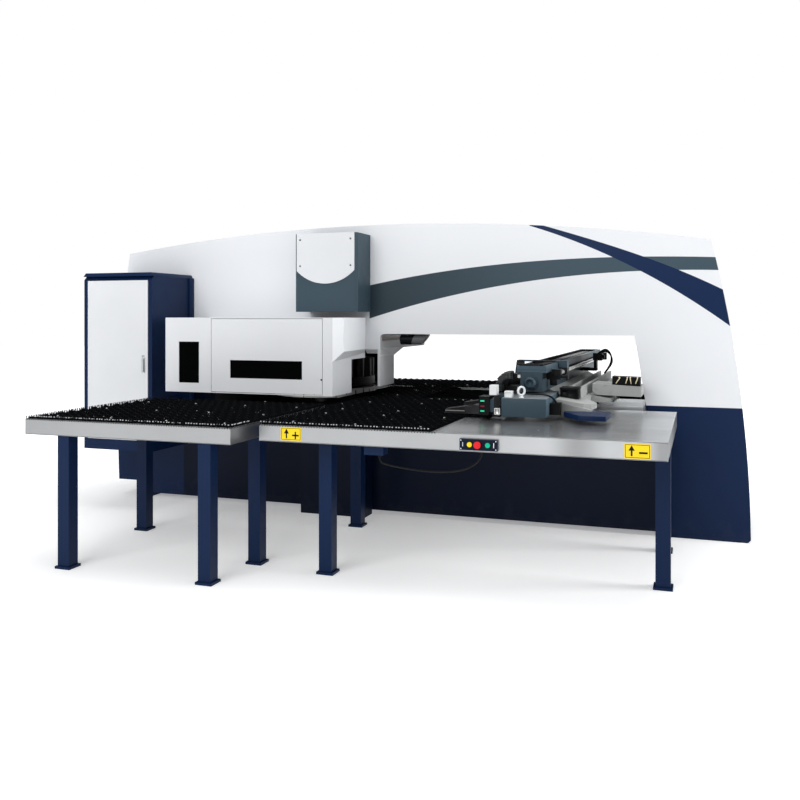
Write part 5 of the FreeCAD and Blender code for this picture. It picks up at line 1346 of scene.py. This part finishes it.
LAMPS = (("key", (-1.5, -9.5, 5.5), 7.0, 500), ("fill", (9.0, 0.2, 3.4), 3.4, 440),
         ("back", (0.0, 8.5, 6.0), 6.0, 240), ("top", (0.0, 0.0, 8.5), 8.0, 400))


class PRESS_OT_stage(bpy.types.Operator):
    """Lay the floor and set up the studio light"""
    bl_idname = "press.stage"
    bl_label = "Stage"

    def execute(self, context):
        clear()
        bpy.ops.mesh.primitive_circle_add(vertices=96, radius=45, fill_type="NGON",
                                          location=(0, 0, -0.0005))
        floor = settle(bpy.context.object, "studio_floor")
        pale = Finish("studio_floor", (0.86, 0.86, 0.86), 0.7)
        tone = pale.mix(pale.noise(0.6, 3), (0.85, 0.85, 0.85, 1), (0.87, 0.87, 0.87, 1))
        pale.feed("Base Color", tone)
        far = pale.step((pale.x * pale.x + pale.y * pale.y).root(), 3.2, 9.0)
        pale.feed("Emission Color", pale.mix(far, (0.30, 0.30, 0.30, 1), (0.85, 0.85, 0.85, 1)))
        pale.shader.inputs["Emission Strength"].default_value = 1.0
        floor.data.materials.append(pale.material)
        for name, place, size, power in LAMPS:
            clear()
            aim = (Vector((0, 0, 1)) - Vector(place)).to_track_quat("-Z", "Y").to_euler()
            bpy.ops.object.light_add(type="AREA", location=place, rotation=aim)
            lamp = context.object
            lamp.name = name + "_light"
            lamp.data.shape = "DISK"
            lamp.data.size = size
            lamp.data.energy = power
        world = bpy.data.worlds.new("studio")
        world.use_nodes = True
        tree = world.node_tree
        soft = tree.nodes["Background"]
        soft.inputs["Color"].default_value = (0.96, 0.98, 1, 1)
        soft.inputs["Strength"].default_value = 0.5
        white = tree.nodes.new("ShaderNodeBackground")
        white.inputs["Color"].default_value = (1, 1, 1, 1)
        seen = tree.nodes.new("ShaderNodeLightPath")
        blend = tree.nodes.new("ShaderNodeMixShader")
        tree.links.new(seen.outputs["Is Camera Ray"], blend.inputs[0])
        tree.links.new(soft.outputs[0], blend.inputs[1])
        tree.links.new(white.outputs[0], blend.inputs[2])
        tree.links.new(blend.outputs[0], tree.nodes["World Output"].inputs["Surface"])
        context.scene.world = world
        return {"FINISHED"}


# ---------------------------------------------------------------- panel and registration

class PRESS_PT_sidebar(bpy.types.Panel):
    """Lists the pieces in the sidebar"""
    bl_idname = "PRESS_PT_sidebar"
    bl_label = "Punch press"
    bl_space_type = "VIEW_3D"
    bl_region_type = "UI"
    bl_category = "Punch press"

    def draw(self, context):
        for group in (context.scene.press_sizes, context.scene.press_colours):
            for name in group.bl_rna.properties.keys():
                if name not in ("rna_type", "name"):
                    self.layout.prop(group, name)
        for operator in OPERATORS:
            self.layout.operator(operator.bl_idname)


OPERATORS = (PRESS_OT_finishes, PRESS_OT_view, PRESS_OT_cable, PRESS_OT_bristles,
             PRESS_OT_tables, PRESS_OT_plates, PRESS_OT_buttons, PRESS_OT_covers,
             PRESS_OT_cabinet, PRESS_OT_carriage, PRESS_OT_saddle, PRESS_OT_stage)
CLASSES = (PressSizes, PressColours) + OPERATORS + (PRESS_PT_sidebar,)


def register():
    for item in CLASSES:
        bpy.utils.register_class(item)
    bpy.types.Scene.press_sizes = bpy.props.PointerProperty(type=PressSizes)
    bpy.types.Scene.press_colours = bpy.props.PointerProperty(type=PressColours)


def unregister():
    del bpy.types.Scene.press_colours
    del bpy.types.Scene.press_sizes
    for item in reversed(CLASSES):
        bpy.utils.unregister_class(item)


def main():
    register()
    for operator in OPERATORS:
        group, name = operator.bl_idname.split(".")
        getattr(getattr(bpy.ops, group), name)()
    clear()


if __name__ == "__main__":
    main()
